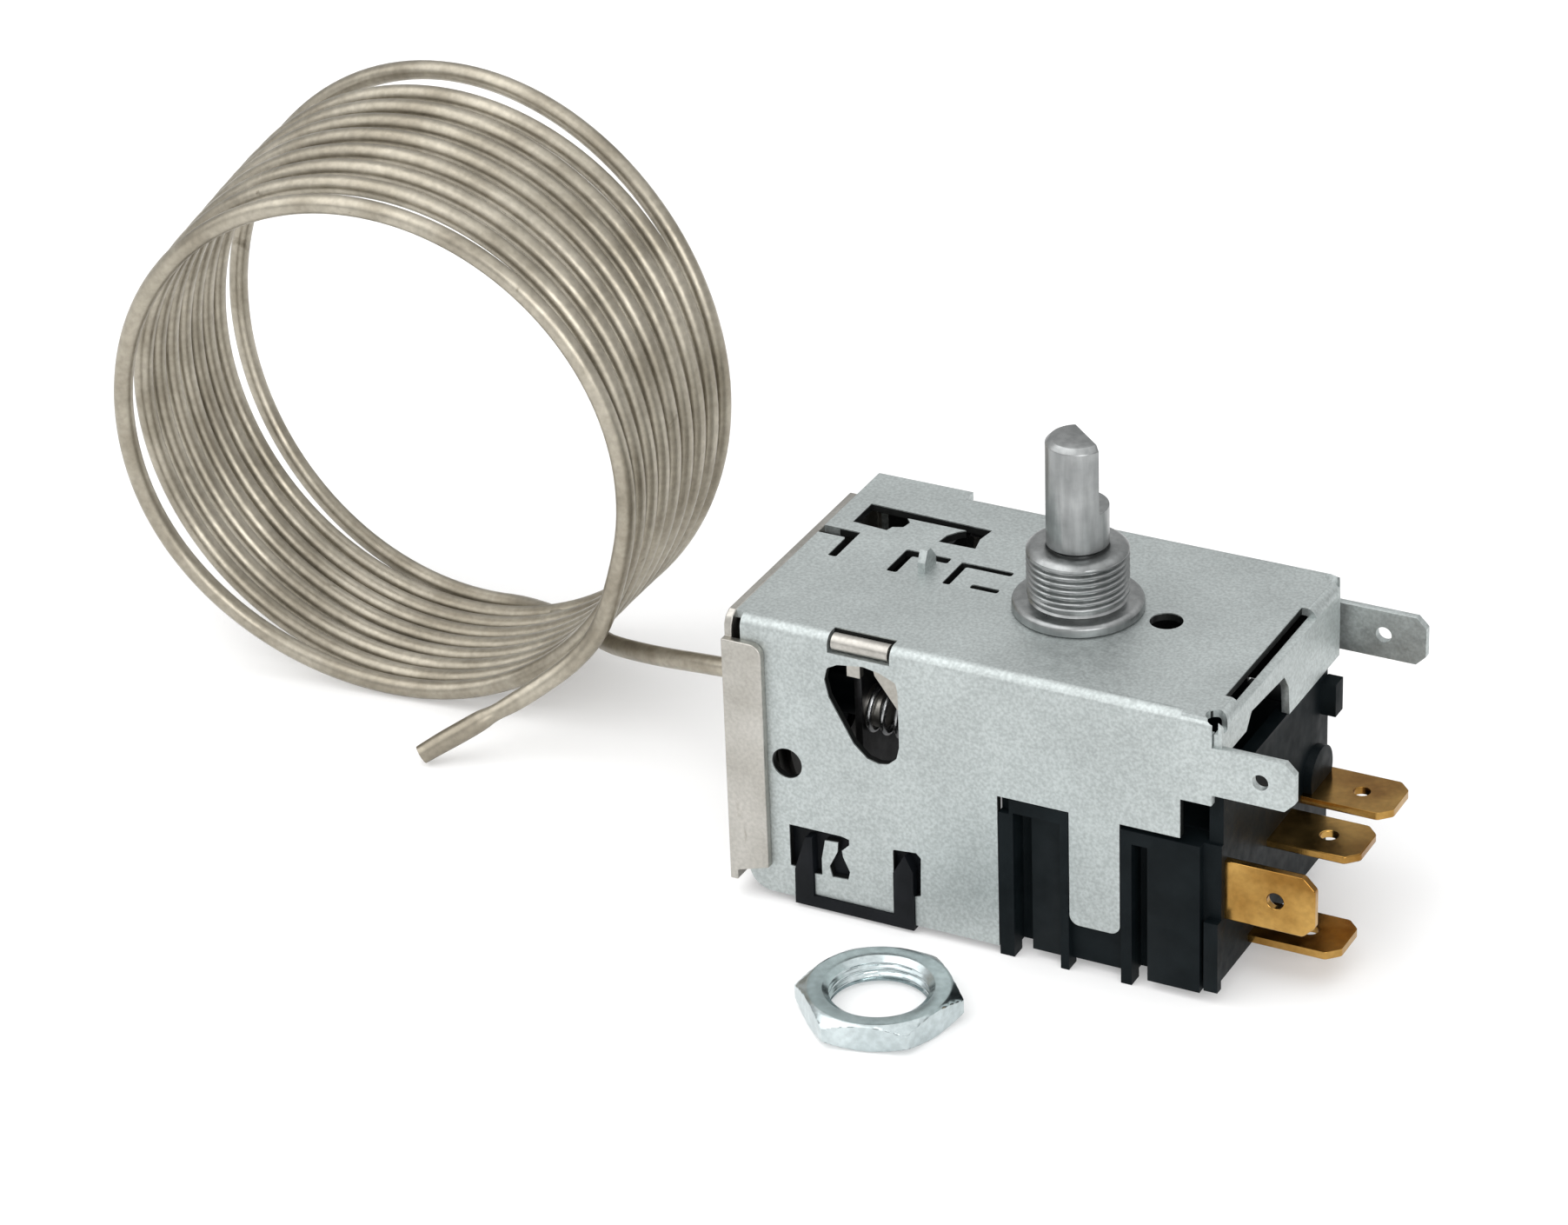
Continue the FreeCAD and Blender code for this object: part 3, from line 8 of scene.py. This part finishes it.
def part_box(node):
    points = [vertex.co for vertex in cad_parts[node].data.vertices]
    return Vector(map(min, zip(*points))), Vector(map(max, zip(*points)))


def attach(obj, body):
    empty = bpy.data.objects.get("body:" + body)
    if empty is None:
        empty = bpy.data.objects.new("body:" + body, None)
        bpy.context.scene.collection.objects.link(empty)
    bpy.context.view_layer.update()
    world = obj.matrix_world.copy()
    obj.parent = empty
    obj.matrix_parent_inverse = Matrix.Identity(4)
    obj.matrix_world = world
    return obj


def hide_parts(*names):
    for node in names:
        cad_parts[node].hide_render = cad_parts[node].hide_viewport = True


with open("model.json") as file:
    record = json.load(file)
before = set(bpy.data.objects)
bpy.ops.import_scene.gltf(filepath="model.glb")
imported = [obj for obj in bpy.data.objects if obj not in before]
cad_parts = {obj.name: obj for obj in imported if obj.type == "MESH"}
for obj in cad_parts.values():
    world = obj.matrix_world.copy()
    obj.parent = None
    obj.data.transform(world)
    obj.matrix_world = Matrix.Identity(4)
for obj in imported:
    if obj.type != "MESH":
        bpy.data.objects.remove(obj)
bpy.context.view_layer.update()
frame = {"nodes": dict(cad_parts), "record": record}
scene = bpy.context.scene

# The CAD source's own measures, in millimetres from the frame's lower front left corner
MM = 0.001
ORIGIN = Vector((28.4, 14.6, 30.9))
FRAME_TOP = 29.7
FLOOR = -0.9


def at(x, y, z):
    """A point of the source, in metres in the part's frame."""
    return (Vector((x, y, z)) - ORIGIN) * MM


# Camera, solved from the photograph
CAMERA_PLACE = (218.335, -397.930, 280.220)
CAMERA_RIGHT = Vector((0.889198, 0.456309, -0.033300))
CAMERA_UP = Vector((-0.194631, 0.443131, 0.875073))
CAMERA_AHEAD = Vector((-0.414060, 0.771632, -0.482843))
cam_data = bpy.data.cameras.new("Camera")
cam_data.lens = 126.35
cam_data.sensor_width = 36
cam_data.clip_start = 0.01
cam_data.clip_end = 20
camera = bpy.data.objects.new("Camera", cam_data)
turn = Matrix((CAMERA_RIGHT, CAMERA_UP, -CAMERA_AHEAD)).transposed().to_4x4()
camera.matrix_world = Matrix.Translation(at(*CAMERA_PLACE)) @ turn
scene.collection.objects.link(camera)
scene.camera = camera

# Capillary: lead, turns from the farthest to the nearest, tail. Millimetres and degrees
TUBE_R = 1.0
LEAD = [
    (-1.7, 15.0, 14.5), (-5.0, 15.05, 14.4), (-9.0, 15.5, 13.9), (-13.8, 16.9, 12.8), (-18.6, 18.8, 11.3),
    (-23.6, 21.5, 9.5), (-28.6, 25.1, 7.3), (-32.6, 29.6, 4.9), (-36.6, 34.2, 2.8),
]
TAIL = [
    (-25.1, 18.9, 15.6), (-26.4, 17.9, 12.2), (-28.7, 16.7, 9.3), (-31.6, 15.3, 6.9), (-33.8, 13.85, 5.3),
    (-35.6, 12.7, 4.2), (-36.6, 12.0, 3.6), (-38.4, 10.8, 2.4), (-40.2, 9.6, 1.3), (-41.9, 8.4, 0.15),
]
# Thickness along the tail's last points: a pinch, then the sealed end
TAIL_END = (1.0, 0.80, 1.08, 1.10, 1.08, 1.0)
TURNS = 9
PER_TURN = 36
START_ANGLE = -79.0
END_ANGLE = -12.0
# Each key: place in the stack, centre, lean about Z, tip about X, radius
KEYS = [
    (0.0, (-52.2, 41.5, 29.8), 0.5, -4.2, 29.7),
    (1.0, (-52.0, 38.3, 29.55), -1.6, -2.6, 29.5),
    (2.0, (-51.9, 35.1, 29.4), -1.6, -1.9, 29.3),
    (4.0, (-51.6, 29.2, 29.0), -1.8, -0.8, 28.9),
    (TURNS - 2.0, (-50.9, 19.7, 28.4), -4.0, 0.9, 28.2),
    (TURNS - 1.0, (-50.7, 16.95, 28.2), -5.3, 1.2, 28.0),
]
SWEEP = 360.0 * TURNS + START_ANGLE - END_ANGLE
# Even winding between these degrees, and where the route steps from the far turn and to the near one
EVEN = (350.0, SWEEP - 390.0)
FAR_STEP = (150.0, 275.0)
NEAR_STEP = (SWEEP - 290.0, SWEEP - 205.0)


def key_at(place):
    """Centre, lean, tip and radius of the turn at this place in the stack."""
    place = min(max(place, KEYS[0][0]), KEYS[-1][0])
    for low, high in zip(KEYS, KEYS[1:]):
        if place <= high[0]:
            t = (place - low[0]) / (high[0] - low[0])
            centre = Vector(low[1]).lerp(Vector(high[1]), t)
            return centre, *[a + (b - a) * t for a, b in zip(low[2:], high[2:])]


def turn_point(place, angle):
    """The point of the turn at this place in the stack, at this angle from the level."""
    centre, lean, tip, radius = key_at(place)
    a, b = math.radians(lean), math.radians(tip)
    normal = Vector((math.cos(b) * math.sin(a), math.cos(b) * math.cos(a), math.sin(b)))
    side = normal.cross(Vector((0, 0, 1))).normalized()
    rise = side.cross(normal)
    t = math.radians(angle)
    return centre + radius * (math.cos(t) * side + math.sin(t) * rise)


def eased(t):
    """From 0 to 1 with a soft start and end."""
    return t * t * (3 - 2 * t)


def even(swept):
    """Place in the stack where the turns are wound evenly."""
    return 1 + (TURNS - 3) * (swept - EVEN[0]) / (EVEN[1] - EVEN[0])


def place_at(swept):
    """Place in the stack after this many degrees of winding."""
    if swept < NEAR_STEP[0]:
        t = (swept - FAR_STEP[0]) / (FAR_STEP[1] - FAR_STEP[0])
        return even(swept) if t > 1 else even(FAR_STEP[1]) * eased(max(t, 0.0))
    t = (swept - NEAR_STEP[0]) / (NEAR_STEP[1] - NEAR_STEP[0])
    before = even(NEAR_STEP[0])
    return before + (TURNS - 1 - before) * eased(min(t, 1.0))


route = [Vector(p) for p in LEAD]
steps = int(SWEEP / 360.0 * PER_TURN)
for step in range(steps + 1):
    swept = SWEEP * step / steps
    route.append(turn_point(place_at(swept), START_ANGLE - swept))
route += [Vector(p) for p in TAIL]

curve = bpy.data.curves.new("capillary", "CURVE")
curve.dimensions = "3D"
curve.bevel_depth = TUBE_R * MM
curve.bevel_resolution = 4
curve.resolution_u = 4
curve.use_fill_caps = True
spline = curve.splines.new("NURBS")
spline.points.add(len(route) - 1)
for point, place in zip(spline.points, route):
    point.co = (*at(*place), 1.0)
for point, share in zip(spline.points[-len(TAIL_END):], TAIL_END):
    point.radius = share
spline.order_u = 3
spline.use_endpoint_u = True
capillary = bpy.data.objects.new("capillary", curve)
scene.collection.objects.link(capillary)


class Finish:
    """A node material that is built up in layers over the piece's own coordinates."""

    def __init__(self, name, colour, metallic, roughness):
        self.mat = bpy.data.materials.new(name)
        self.mat.use_nodes = True
        self.tree = self.mat.node_tree
        self.shader = self.tree.nodes["Principled BSDF"]
        self.shader.inputs["Base Color"].default_value = (*colour, 1)
        self.shader.inputs["Metallic"].default_value = metallic
        self.shader.inputs["Roughness"].default_value = roughness
        self.colour = None

    def noise(self, scale, detail=4.0, stretch=(1, 1, 1), distortion=0.0):
        """A noise field over the piece; a small stretch draws it out along that axis."""
        coords = self.tree.nodes.new("ShaderNodeTexCoord")
        mapping = self.tree.nodes.new("ShaderNodeMapping")
        mapping.inputs["Scale"].default_value = stretch
        field = self.tree.nodes.new("ShaderNodeTexNoise")
        field.inputs["Scale"].default_value = scale
        field.inputs["Detail"].default_value = detail
        field.inputs["Distortion"].default_value = distortion
        self.tree.links.new(coords.outputs["Object"], mapping.inputs["Vector"])
        self.tree.links.new(mapping.outputs["Vector"], field.inputs["Vector"])
        return field.outputs["Fac"]

    def ramp(self, field, stops):
        """Colours by the field's value; each stop is a place and a colour."""
        node = self.tree.nodes.new("ShaderNodeValToRGB")
        set_stops(node.color_ramp.elements, stops)
        self.tree.links.new(field, node.inputs["Fac"])
        return node.outputs["Color"]

    def layer(self, colours, kind="MULTIPLY", mask=None):
        """Puts colours over what is there, everywhere or where the mask is white."""
        if self.colour is None:
            self.colour = colours
        else:
            mix = self.tree.nodes.new("ShaderNodeMix")
            mix.data_type = "RGBA"
            mix.blend_type = kind
            mix.inputs[0].default_value = 1.0
            if mask is not None:
                self.tree.links.new(mask, mix.inputs[0])
            self.tree.links.new(self.colour, mix.inputs[6])
            self.tree.links.new(colours, mix.inputs[7])
            self.colour = mix.outputs[2]
        self.tree.links.new(self.colour, self.shader.inputs["Base Color"])

    def paint(self, colour, mask):
        """One colour where the mask is white."""
        self.layer(self.ramp(mask, [(0.0, colour), (1.0, colour)]), "MIX", mask)

    def spots(self, field, colour, low, high):
        """Patches of a colour where the field is high."""
        self.paint(colour, self.ramp(field, [(low, grey(0)), (high, grey(1))]))

    def paint_shade_inside(self, low, high, colour):
        """Painted shade: one colour for all that lies within a box of the source, such as unlit inner faces.
        """
        coords = self.tree.nodes.new("ShaderNodeTexCoord")
        axes = self.tree.nodes.new("ShaderNodeSeparateXYZ")
        self.tree.links.new(coords.outputs["Object"], axes.inputs["Vector"])
        mask = None
        for axis, below, above in zip("XYZ", at(*low), at(*high)):
            for kind, limit in (("GREATER_THAN", below), ("LESS_THAN", above)):
                test = self.tree.nodes.new("ShaderNodeMath")
                test.operation = kind
                test.inputs[1].default_value = limit
                self.tree.links.new(axes.outputs[axis], test.inputs[0])
                both = self.tree.nodes.new("ShaderNodeMath")
                both.operation = "MULTIPLY"
                both.inputs[1].default_value = 1.0
                self.tree.links.new(test.outputs["Value"], both.inputs[0])
                if mask is not None:
                    self.tree.links.new(mask, both.inputs[1])
                mask = both.outputs["Value"]
        # The painted shade goes on here, over everything the box holds.
        self.paint(colour, mask)

    def rough(self, field, low, high):
        """Roughness between two values, by the field's usual span."""
        span = self.tree.nodes.new("ShaderNodeMapRange")
        span.inputs["From Min"].default_value = 0.3
        span.inputs["From Max"].default_value = 0.7
        span.inputs["To Min"].default_value = low
        span.inputs["To Max"].default_value = high
        self.tree.links.new(field, span.inputs["Value"])
        self.tree.links.new(span.outputs["Result"], self.shader.inputs["Roughness"])

    def bump(self, field, strength, height):
        """Fine relief, its height in millimetres."""
        node = self.tree.nodes.new("ShaderNodeBump")
        node.inputs["Strength"].default_value = strength
        node.inputs["Distance"].default_value = height * MM
        self.tree.links.new(field, node.inputs["Height"])
        self.tree.links.new(node.outputs["Normal"], self.shader.inputs["Normal"])


def set_stops(elements, stops):
    """Places and colours of a colour ramp."""
    while len(elements) < len(stops):
        elements.new(0.5)
    for element, (place, colour) in zip(elements, stops):
        element.position = place
        element.color = (*colour, 1)


def grey(value):
    return (value, value, value)


# Height of the surface grain, millimetres
GRAIN_HIGH = 0.02


def metal(name, dark, light, rough, wide=120, fine=2600, stretch=(1, 1, 1), speckle=0.10, grain=0.2,
          metallic=1.0, stain=None, stain_from=0.62, inside=()):
    """Worn plate or wire: wide cloudiness, fine speckle along the stretch, and stains, plus painted shade
    over the faces in the boxes given as inside.
    """
    finish = Finish(name, light, metallic, rough[0])
    cloud = finish.noise(wide, 5.0)
    finish.layer(finish.ramp(cloud, [(0.36, dark), (0.64, light)]))
    dust = finish.noise(fine, 3.0, stretch)
    finish.layer(finish.ramp(dust, [(0.35, grey(1 - speckle)), (0.65, grey(1 + speckle / 2))]))
    if stain is not None:
        finish.spots(finish.noise(wide * 2.2, 6.0, distortion=0.6), stain, stain_from, stain_from + 0.1)
    # Painted shade: each box given as inside gets its dark colour over all its faces.
    for low, high, colour in inside:
        finish.paint_shade_inside(low, high, colour)
    finish.rough(finish.noise(fine / 3, 4.0, stretch), *rough)
    finish.bump(dust, grain, GRAIN_HIGH)
    return finish.mat


def plastic(name, dark, light, rough, gloss):
    """Moulded plastic with a faint cloudiness."""
    finish = Finish(name, light, 0.0, rough)
    finish.shader.inputs["Specular IOR Level"].default_value = gloss
    finish.layer(finish.ramp(finish.noise(260, 5.0), [(0.35, dark), (0.65, light)]))
    finish.rough(finish.noise(700, 4.0), rough - 0.08, rough + 0.08)
    finish.bump(finish.noise(2600, 2.0), 0.2, GRAIN_HIGH)
    return finish.mat


# Boxes of the source whose faces lie in the dark, each two corners and a colour of painted shade:
# below and between the frame's bends, in the capsule bracket, and the blades' roots
FRAME_SHADE = (0.035, 0.037, 0.036)
SHADE_IN_FRAME = [
    ((0.75, 0.16, -1.0), (48.3, 30.75, 27.6), FRAME_SHADE),
    ((0.75, 1.7, -1.0), (47.65, 29.2, 29.58), FRAME_SHADE),
]
SHADE_IN_CAPSULE = [((0.9, 0.9, -1.0), (10.5, 30.0, 28.6), (0.06, 0.058, 0.054))]
SHADE_IN_MOULDING = [((-1.0, -1.0, -1.0), (43.0, 32.0, 31.0), (0.012, 0.010, 0.007))]

# One finish for each material slot: dark and light colour, then the span of roughness
MATS = {
    "frame_steel": metal(
        "frame_steel", (0.44, 0.475, 0.47), (0.50, 0.54, 0.535), (0.44, 0.56), wide=90, fine=3200,
        speckle=0.16, grain=0.3, metallic=0.9, inside=SHADE_IN_FRAME),
    "plated_steel": metal(
        "plated_steel", (0.38, 0.365, 0.33), (0.50, 0.485, 0.45), (0.30, 0.42),
        stain=(0.24, 0.215, 0.17), stain_from=0.66, inside=SHADE_IN_CAPSULE),
    "dark_steel": metal("dark_steel", (0.06, 0.06, 0.062), (0.10, 0.10, 0.102), (0.38, 0.5)),
    "tube_metal": metal(
        "tube_metal", (0.29, 0.26, 0.205), (0.43, 0.395, 0.325), (0.32, 0.46), wide=140, fine=1500,
        speckle=0.12, metallic=0.9, stain=(0.12, 0.10, 0.07), stain_from=0.70),
    "zinc_alloy": metal(
        "zinc_alloy", (0.25, 0.26, 0.26), (0.35, 0.36, 0.36), (0.26, 0.40), wide=300, fine=1400,
        stretch=(1, 1, 0.12), speckle=0.14, grain=0.35),
    "spring_steel": metal("spring_steel", (0.34, 0.345, 0.35), (0.46, 0.465, 0.47), (0.2, 0.3)),
    "nut_zinc": metal(
        "nut_zinc", (0.44, 0.50, 0.51), (0.58, 0.645, 0.655), (0.14, 0.26), wide=200, fine=1500,
        speckle=0.12),
    "brass_blade": metal(
        "brass_blade", (0.25, 0.125, 0.028), (0.47, 0.28, 0.08), (0.15, 0.27), wide=150, fine=1800,
        speckle=0.10, stain=(0.24, 0.12, 0.035), stain_from=0.68, inside=SHADE_IN_MOULDING),
    "contact_silver": metal("contact_silver", (0.60, 0.60, 0.58), (0.72, 0.72, 0.70), (0.2, 0.3)),
    "black_moulding": plastic("black_moulding", (0.003, 0.005, 0.006), (0.006, 0.009, 0.0105), 0.46, 0.07),
    "clip_plastic": plastic("clip_plastic", (0.003, 0.004, 0.005), (0.006, 0.007, 0.009), 0.44, 0.12),
}

slot_of = {entry["node"]: entry["material_slot"] for entry in frame["record"]["subparts"]}
body_of = {node: body for body, nodes in frame["record"]["behaviour"]["bodies"].items() for node in nodes}
CORDS = ("capillary_coil", "capillary_lead", "capillary_tail")
curve.materials.append(MATS["tube_metal"])
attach(capillary, "casing")
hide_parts(*CORDS)


def shown(piece, node):
    """The piece stands for this CAD node, on its body and in its finish."""
    piece.data.materials.clear()
    piece.data.materials.append(MATS[slot_of[node]])
    scene.collection.objects.link(piece)
    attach(piece, body_of[node])
    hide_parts(node)


def shade(mesh, angle):
    """Smooth faces, with edges sharper than the angle kept crisp."""
    for face in mesh.polygons:
        face.use_smooth = True
    mesh.set_sharp_from_angle(angle=math.radians(angle))


# Softening of the CAD nodes' edges: merging distance in millimetres, then angles in degrees
WELD = 0.002
FLAT_BELOW = 0.5
SOFT_ABOVE = 28
CRISP_ABOVE = 40


def refined(node, width):
    """A copy of a CAD node with softened edges, shown in its place."""
    source = frame["nodes"][node]
    mesh = source.data.copy()
    work = bmesh.new()
    work.from_mesh(mesh)
    bmesh.ops.remove_doubles(work, verts=work.verts, dist=WELD * MM)
    bmesh.ops.dissolve_limit(work, angle_limit=math.radians(FLAT_BELOW), verts=work.verts, edges=work.edges)
    work.to_mesh(mesh)
    work.free()
    piece = bpy.data.objects.new("looks_" + node, mesh)
    piece.matrix_world = source.matrix_world
    mod = piece.modifiers.new("edges", "BEVEL")
    mod.width = width * MM
    mod.segments = 2
    mod.limit_method = "ANGLE"
    mod.angle_limit = math.radians(SOFT_ABOVE)
    shade(mesh, CRISP_ABOVE)
    shown(piece, node)


def lathed(node, centre, rings, columns, radius_at):
    """A closed round mesh: each ring is a height and a radius, which radius_at may change by heading."""
    mesh = bpy.data.meshes.new("looks_" + node)
    verts = []
    for height, radius in rings:
        for column in range(columns):
            heading = 2 * math.pi * column / columns
            out = radius_at(height, radius, heading)
            verts.append(centre + Vector((math.cos(heading) * out, math.sin(heading) * out, height)) * MM)
    faces = []
    for ring in range(len(rings)):
        after = (ring + 1) % len(rings)
        for column in range(columns):
            beside = (column + 1) % columns
            faces.append((ring * columns + column, ring * columns + beside, after * columns + beside,
                          after * columns + column))
    mesh.from_pydata([tuple(v) for v in verts], [], faces)
    work = bmesh.new()
    work.from_mesh(mesh)
    bmesh.ops.recalc_face_normals(work, faces=work.faces)
    work.to_mesh(mesh)
    work.free()
    shade(mesh, 32)
    shown(bpy.data.objects.new("looks_" + node, mesh), node)


def run(start, end, count):
    """Rings from one height and radius to another, the last one left out."""
    return [tuple(a + (b - a) * k / count for a, b in zip(start, end)) for k in range(count)]


def thread_wave(turns):
    """Depth share of a worn thread: narrow root, rounded flank, narrow crest."""
    share = abs((turns % 1.0) * 2 - 1)
    return eased(min(max(share * 1.25 - 0.1, 0.0), 1.0))


# Threaded bushing, from its foot up. Heights from the flange's top, millimetres
BUSHING_TOP = 5.6
BUSHING_FOOT_R = 5.2
BUSHING_NECK_R = 4.0
NECK_HIGH = 0.85
BORE = 2.62
BUSHING_COLUMNS = 96
THREAD_FOOT = 0.85
THREAD_HEAD = 5.15
THREAD_CREST = 4.9
THREAD_DEPTH = 0.40
THREAD_PITCH = 0.68
THREAD_RINGS = 76
# Rings just outside the thread stand this far inside its crest, so they stay plain
THREAD_EASE = 0.02
# Outlines as heights and radii: the flange's rim, the thread's staked foot, the bushing's rounded end
FLANGE_RIM = [(-0.38, 6.3), (-0.2, 6.22), (-0.05, 6.0), (0.0, 5.75)]
STAKED_FOOT = [(0.02, 5.1), (0.1, 4.75), (0.3, 4.58), (0.62, 4.55)]
ROUND_END = [(5.3, 4.74), (5.48, 4.5), (5.58, 4.2), (BUSHING_TOP, 3.9), (BUSHING_TOP, 2.8), (5.5, BORE)]


def bushing_radius(height, radius, heading):
    """Cuts the thread into its rings and fades it out at both ends."""
    if radius < THREAD_CREST - THREAD_EASE / 2 or not THREAD_FOOT <= height <= THREAD_HEAD:
        return radius
    end = min(height - THREAD_FOOT, THREAD_HEAD - height) / (THREAD_PITCH * 0.6)
    wave = thread_wave(height / THREAD_PITCH - heading / (2 * math.pi))
    return radius - THREAD_DEPTH * wave * min(end, 1.0)


low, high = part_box("bushing")
flange_top = Vector(((low.x + high.x) / 2, (low.y + high.y) / 2, high.z - BUSHING_TOP * MM))
foot = (low.z - flange_top.z) / MM
flange_low = (at(0, 0, FRAME_TOP).z - flange_top.z) / MM
neck_low = flange_low - NECK_HIGH
plain = THREAD_CREST - THREAD_EASE
bushing_rings = [(foot, BORE), (foot, BUSHING_FOOT_R), (neck_low, BUSHING_FOOT_R), (neck_low, BUSHING_NECK_R)]
bushing_rings += [(flange_low, BUSHING_NECK_R), (flange_low, 6.1), (flange_low + 0.15, 6.3)]
bushing_rings += FLANGE_RIM + STAKED_FOOT + [(THREAD_FOOT - 0.01, plain)]
bushing_rings += run((THREAD_FOOT, THREAD_CREST), (THREAD_HEAD, THREAD_CREST), THREAD_RINGS)
bushing_rings += [(THREAD_HEAD, plain)] + ROUND_END
lathed("bushing", flange_top, bushing_rings, BUSHING_COLUMNS, bushing_radius)

# Loose hexagon nut, both faces chamfered. Heights from its lower face, millimetres
NUT_HALF = 7.0
NUT_HIGH = 2.9
NUT_TURN = 14.6
NUT_FACE_R = 6.75
NUT_SLOPE = 0.55
NUT_CHAMFER = 0.9
NUT_BORE = 4.72
NUT_MOUTH = 0.44
NUT_THREAD = 0.3
NUT_PITCH = 0.8
NUT_COLUMNS = 120
# Beyond the corners, for the rings that are cut back to the hexagon
WIDE = 9.0


def nut_radius(height, radius, heading):
    """Cuts the outer rings to the hexagon and its chamfers, and the thread into the bore."""
    if radius > NUT_BORE + 0.6:
        wedge = math.radians(60)
        off = (heading - math.radians(NUT_TURN) + wedge / 2) % wedge - wedge / 2
        flat = NUT_HALF / math.cos(wedge / 2 - abs(off))
        cone = NUT_FACE_R + min(height, NUT_HIGH - height) / NUT_SLOPE
        return min(flat, cone, radius)
    if radius > NUT_BORE - 0.01 and NUT_MOUTH + 0.01 < height < NUT_HIGH - NUT_MOUTH - 0.01:
        return NUT_BORE + NUT_THREAD * thread_wave(height / NUT_PITCH + heading / (2 * math.pi))
    return radius


low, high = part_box("mounting_nut")
nut_foot = Vector(((low.x + high.x) / 2, (low.y + high.y) / 2, low.z))
chamfer_top = NUT_HIGH - NUT_CHAMFER
nut_rings = [(0.0, 5.35), (0.0, NUT_FACE_R - 0.05)] + run((0.0, WIDE), (NUT_CHAMFER, WIDE), 6)
nut_rings += run((NUT_CHAMFER, WIDE), (chamfer_top, WIDE), 2)
nut_rings += run((chamfer_top, WIDE), (NUT_HIGH, WIDE), 6)
nut_rings += [(NUT_HIGH, WIDE), (NUT_HIGH, NUT_FACE_R - 0.05), (NUT_HIGH, 5.38), (NUT_HIGH - 0.06, 5.28)]
nut_rings += run((NUT_HIGH - NUT_MOUTH, NUT_BORE), (NUT_MOUTH, NUT_BORE), 24)
nut_rings += [(NUT_MOUTH, NUT_BORE), (0.06, 5.28)]
lathed("mounting_nut", nut_foot, nut_rings, NUT_COLUMNS, nut_radius)

# Edge softening of each piece, in millimetres
SOFT_EDGE = {
    "housing_frame": 0.10, "capsule_bracket": 0.10, "hanger_front": 0.08, "hanger_back": 0.08,
    "main_lever": 0.08, "range_lever": 0.08, "switch_housing": 0.12, "insulating_clip": 0.10,
    "switch_cover": 0.12, "terminal_back": 0.10, "terminal_middle": 0.10, "terminal_front": 0.10,
    "terminal_low": 0.10, "spindle": 0.08, "differential_screw": 0.08, "switch_button": 0.08,
    "contact_blade": 0.04, "capillary_ferrule": 0.15, "plunger": 0.10, "range_cam": 0.08,
    "spindle_ring": 0.05,
}
for node, piece in frame["nodes"].items():
    if node in CORDS or node in ("bushing", "mounting_nut"):
        continue
    if node in SOFT_EDGE:
        refined(node, SOFT_EDGE[node])
    else:
        piece.data.materials.clear()
        piece.data.materials.append(MATS[slot_of[node]])

# Floor, sky and lamps
bpy.ops.mesh.primitive_plane_add(size=6, location=at(0, 0, FLOOR))
floor = bpy.context.active_object
floor.name = "floor"
pale = Finish("floor", grey(0.72), 0.0, 0.65)
pale.shader.inputs["Emission Color"].default_value = (1, 1, 1, 1)
pale.shader.inputs["Emission Strength"].default_value = 0.27
pale.shader.inputs["Specular IOR Level"].default_value = 0.2
floor.data.materials.append(pale.mat)

# Sky brightness by height: dim near the horizon, bright overhead
SKY = [(0.0, grey(0.40)), (0.30, grey(0.46)), (0.55, grey(0.49)), (0.80, grey(0.90)), (1.0, grey(1.0))]
SKY_STRENGTH = 1.35
world = bpy.data.worlds.new("World")
scene.world = world
world.use_nodes = True
sky = world.node_tree
direction = sky.nodes.new("ShaderNodeTexCoord")
split = sky.nodes.new("ShaderNodeSeparateXYZ")
shades = sky.nodes.new("ShaderNodeValToRGB")
set_stops(shades.color_ramp.elements, SKY)
sky.links.new(direction.outputs["Generated"], split.inputs["Vector"])
sky.links.new(split.outputs["Z"], shades.inputs["Fac"])
sky.links.new(shades.outputs["Color"], sky.nodes["Background"].inputs["Color"])
sky.nodes["Background"].inputs["Strength"].default_value = SKY_STRENGTH


def area(name, place, target, size, power):
    """A soft lamp that faces the target. Metres and watts."""
    data = bpy.data.lights.new(name, "AREA")
    data.shape = "RECTANGLE"
    data.size, data.size_y = size
    data.energy = power
    light = bpy.data.objects.new(name, data)
    light.location = place
    light.rotation_euler = (Vector(target) - Vector(place)).to_track_quat("-Z", "Y").to_euler()
    scene.collection.objects.link(light)


area("key", (-0.38, -0.32, 0.55), (0, 0, -0.01), (0.9, 0.9), 3.2)
area("fill", (0.45, -0.55, 0.30), (0, 0, -0.015), (0.5, 0.4), 2.4)

scene.view_settings.view_transform = "Standard"
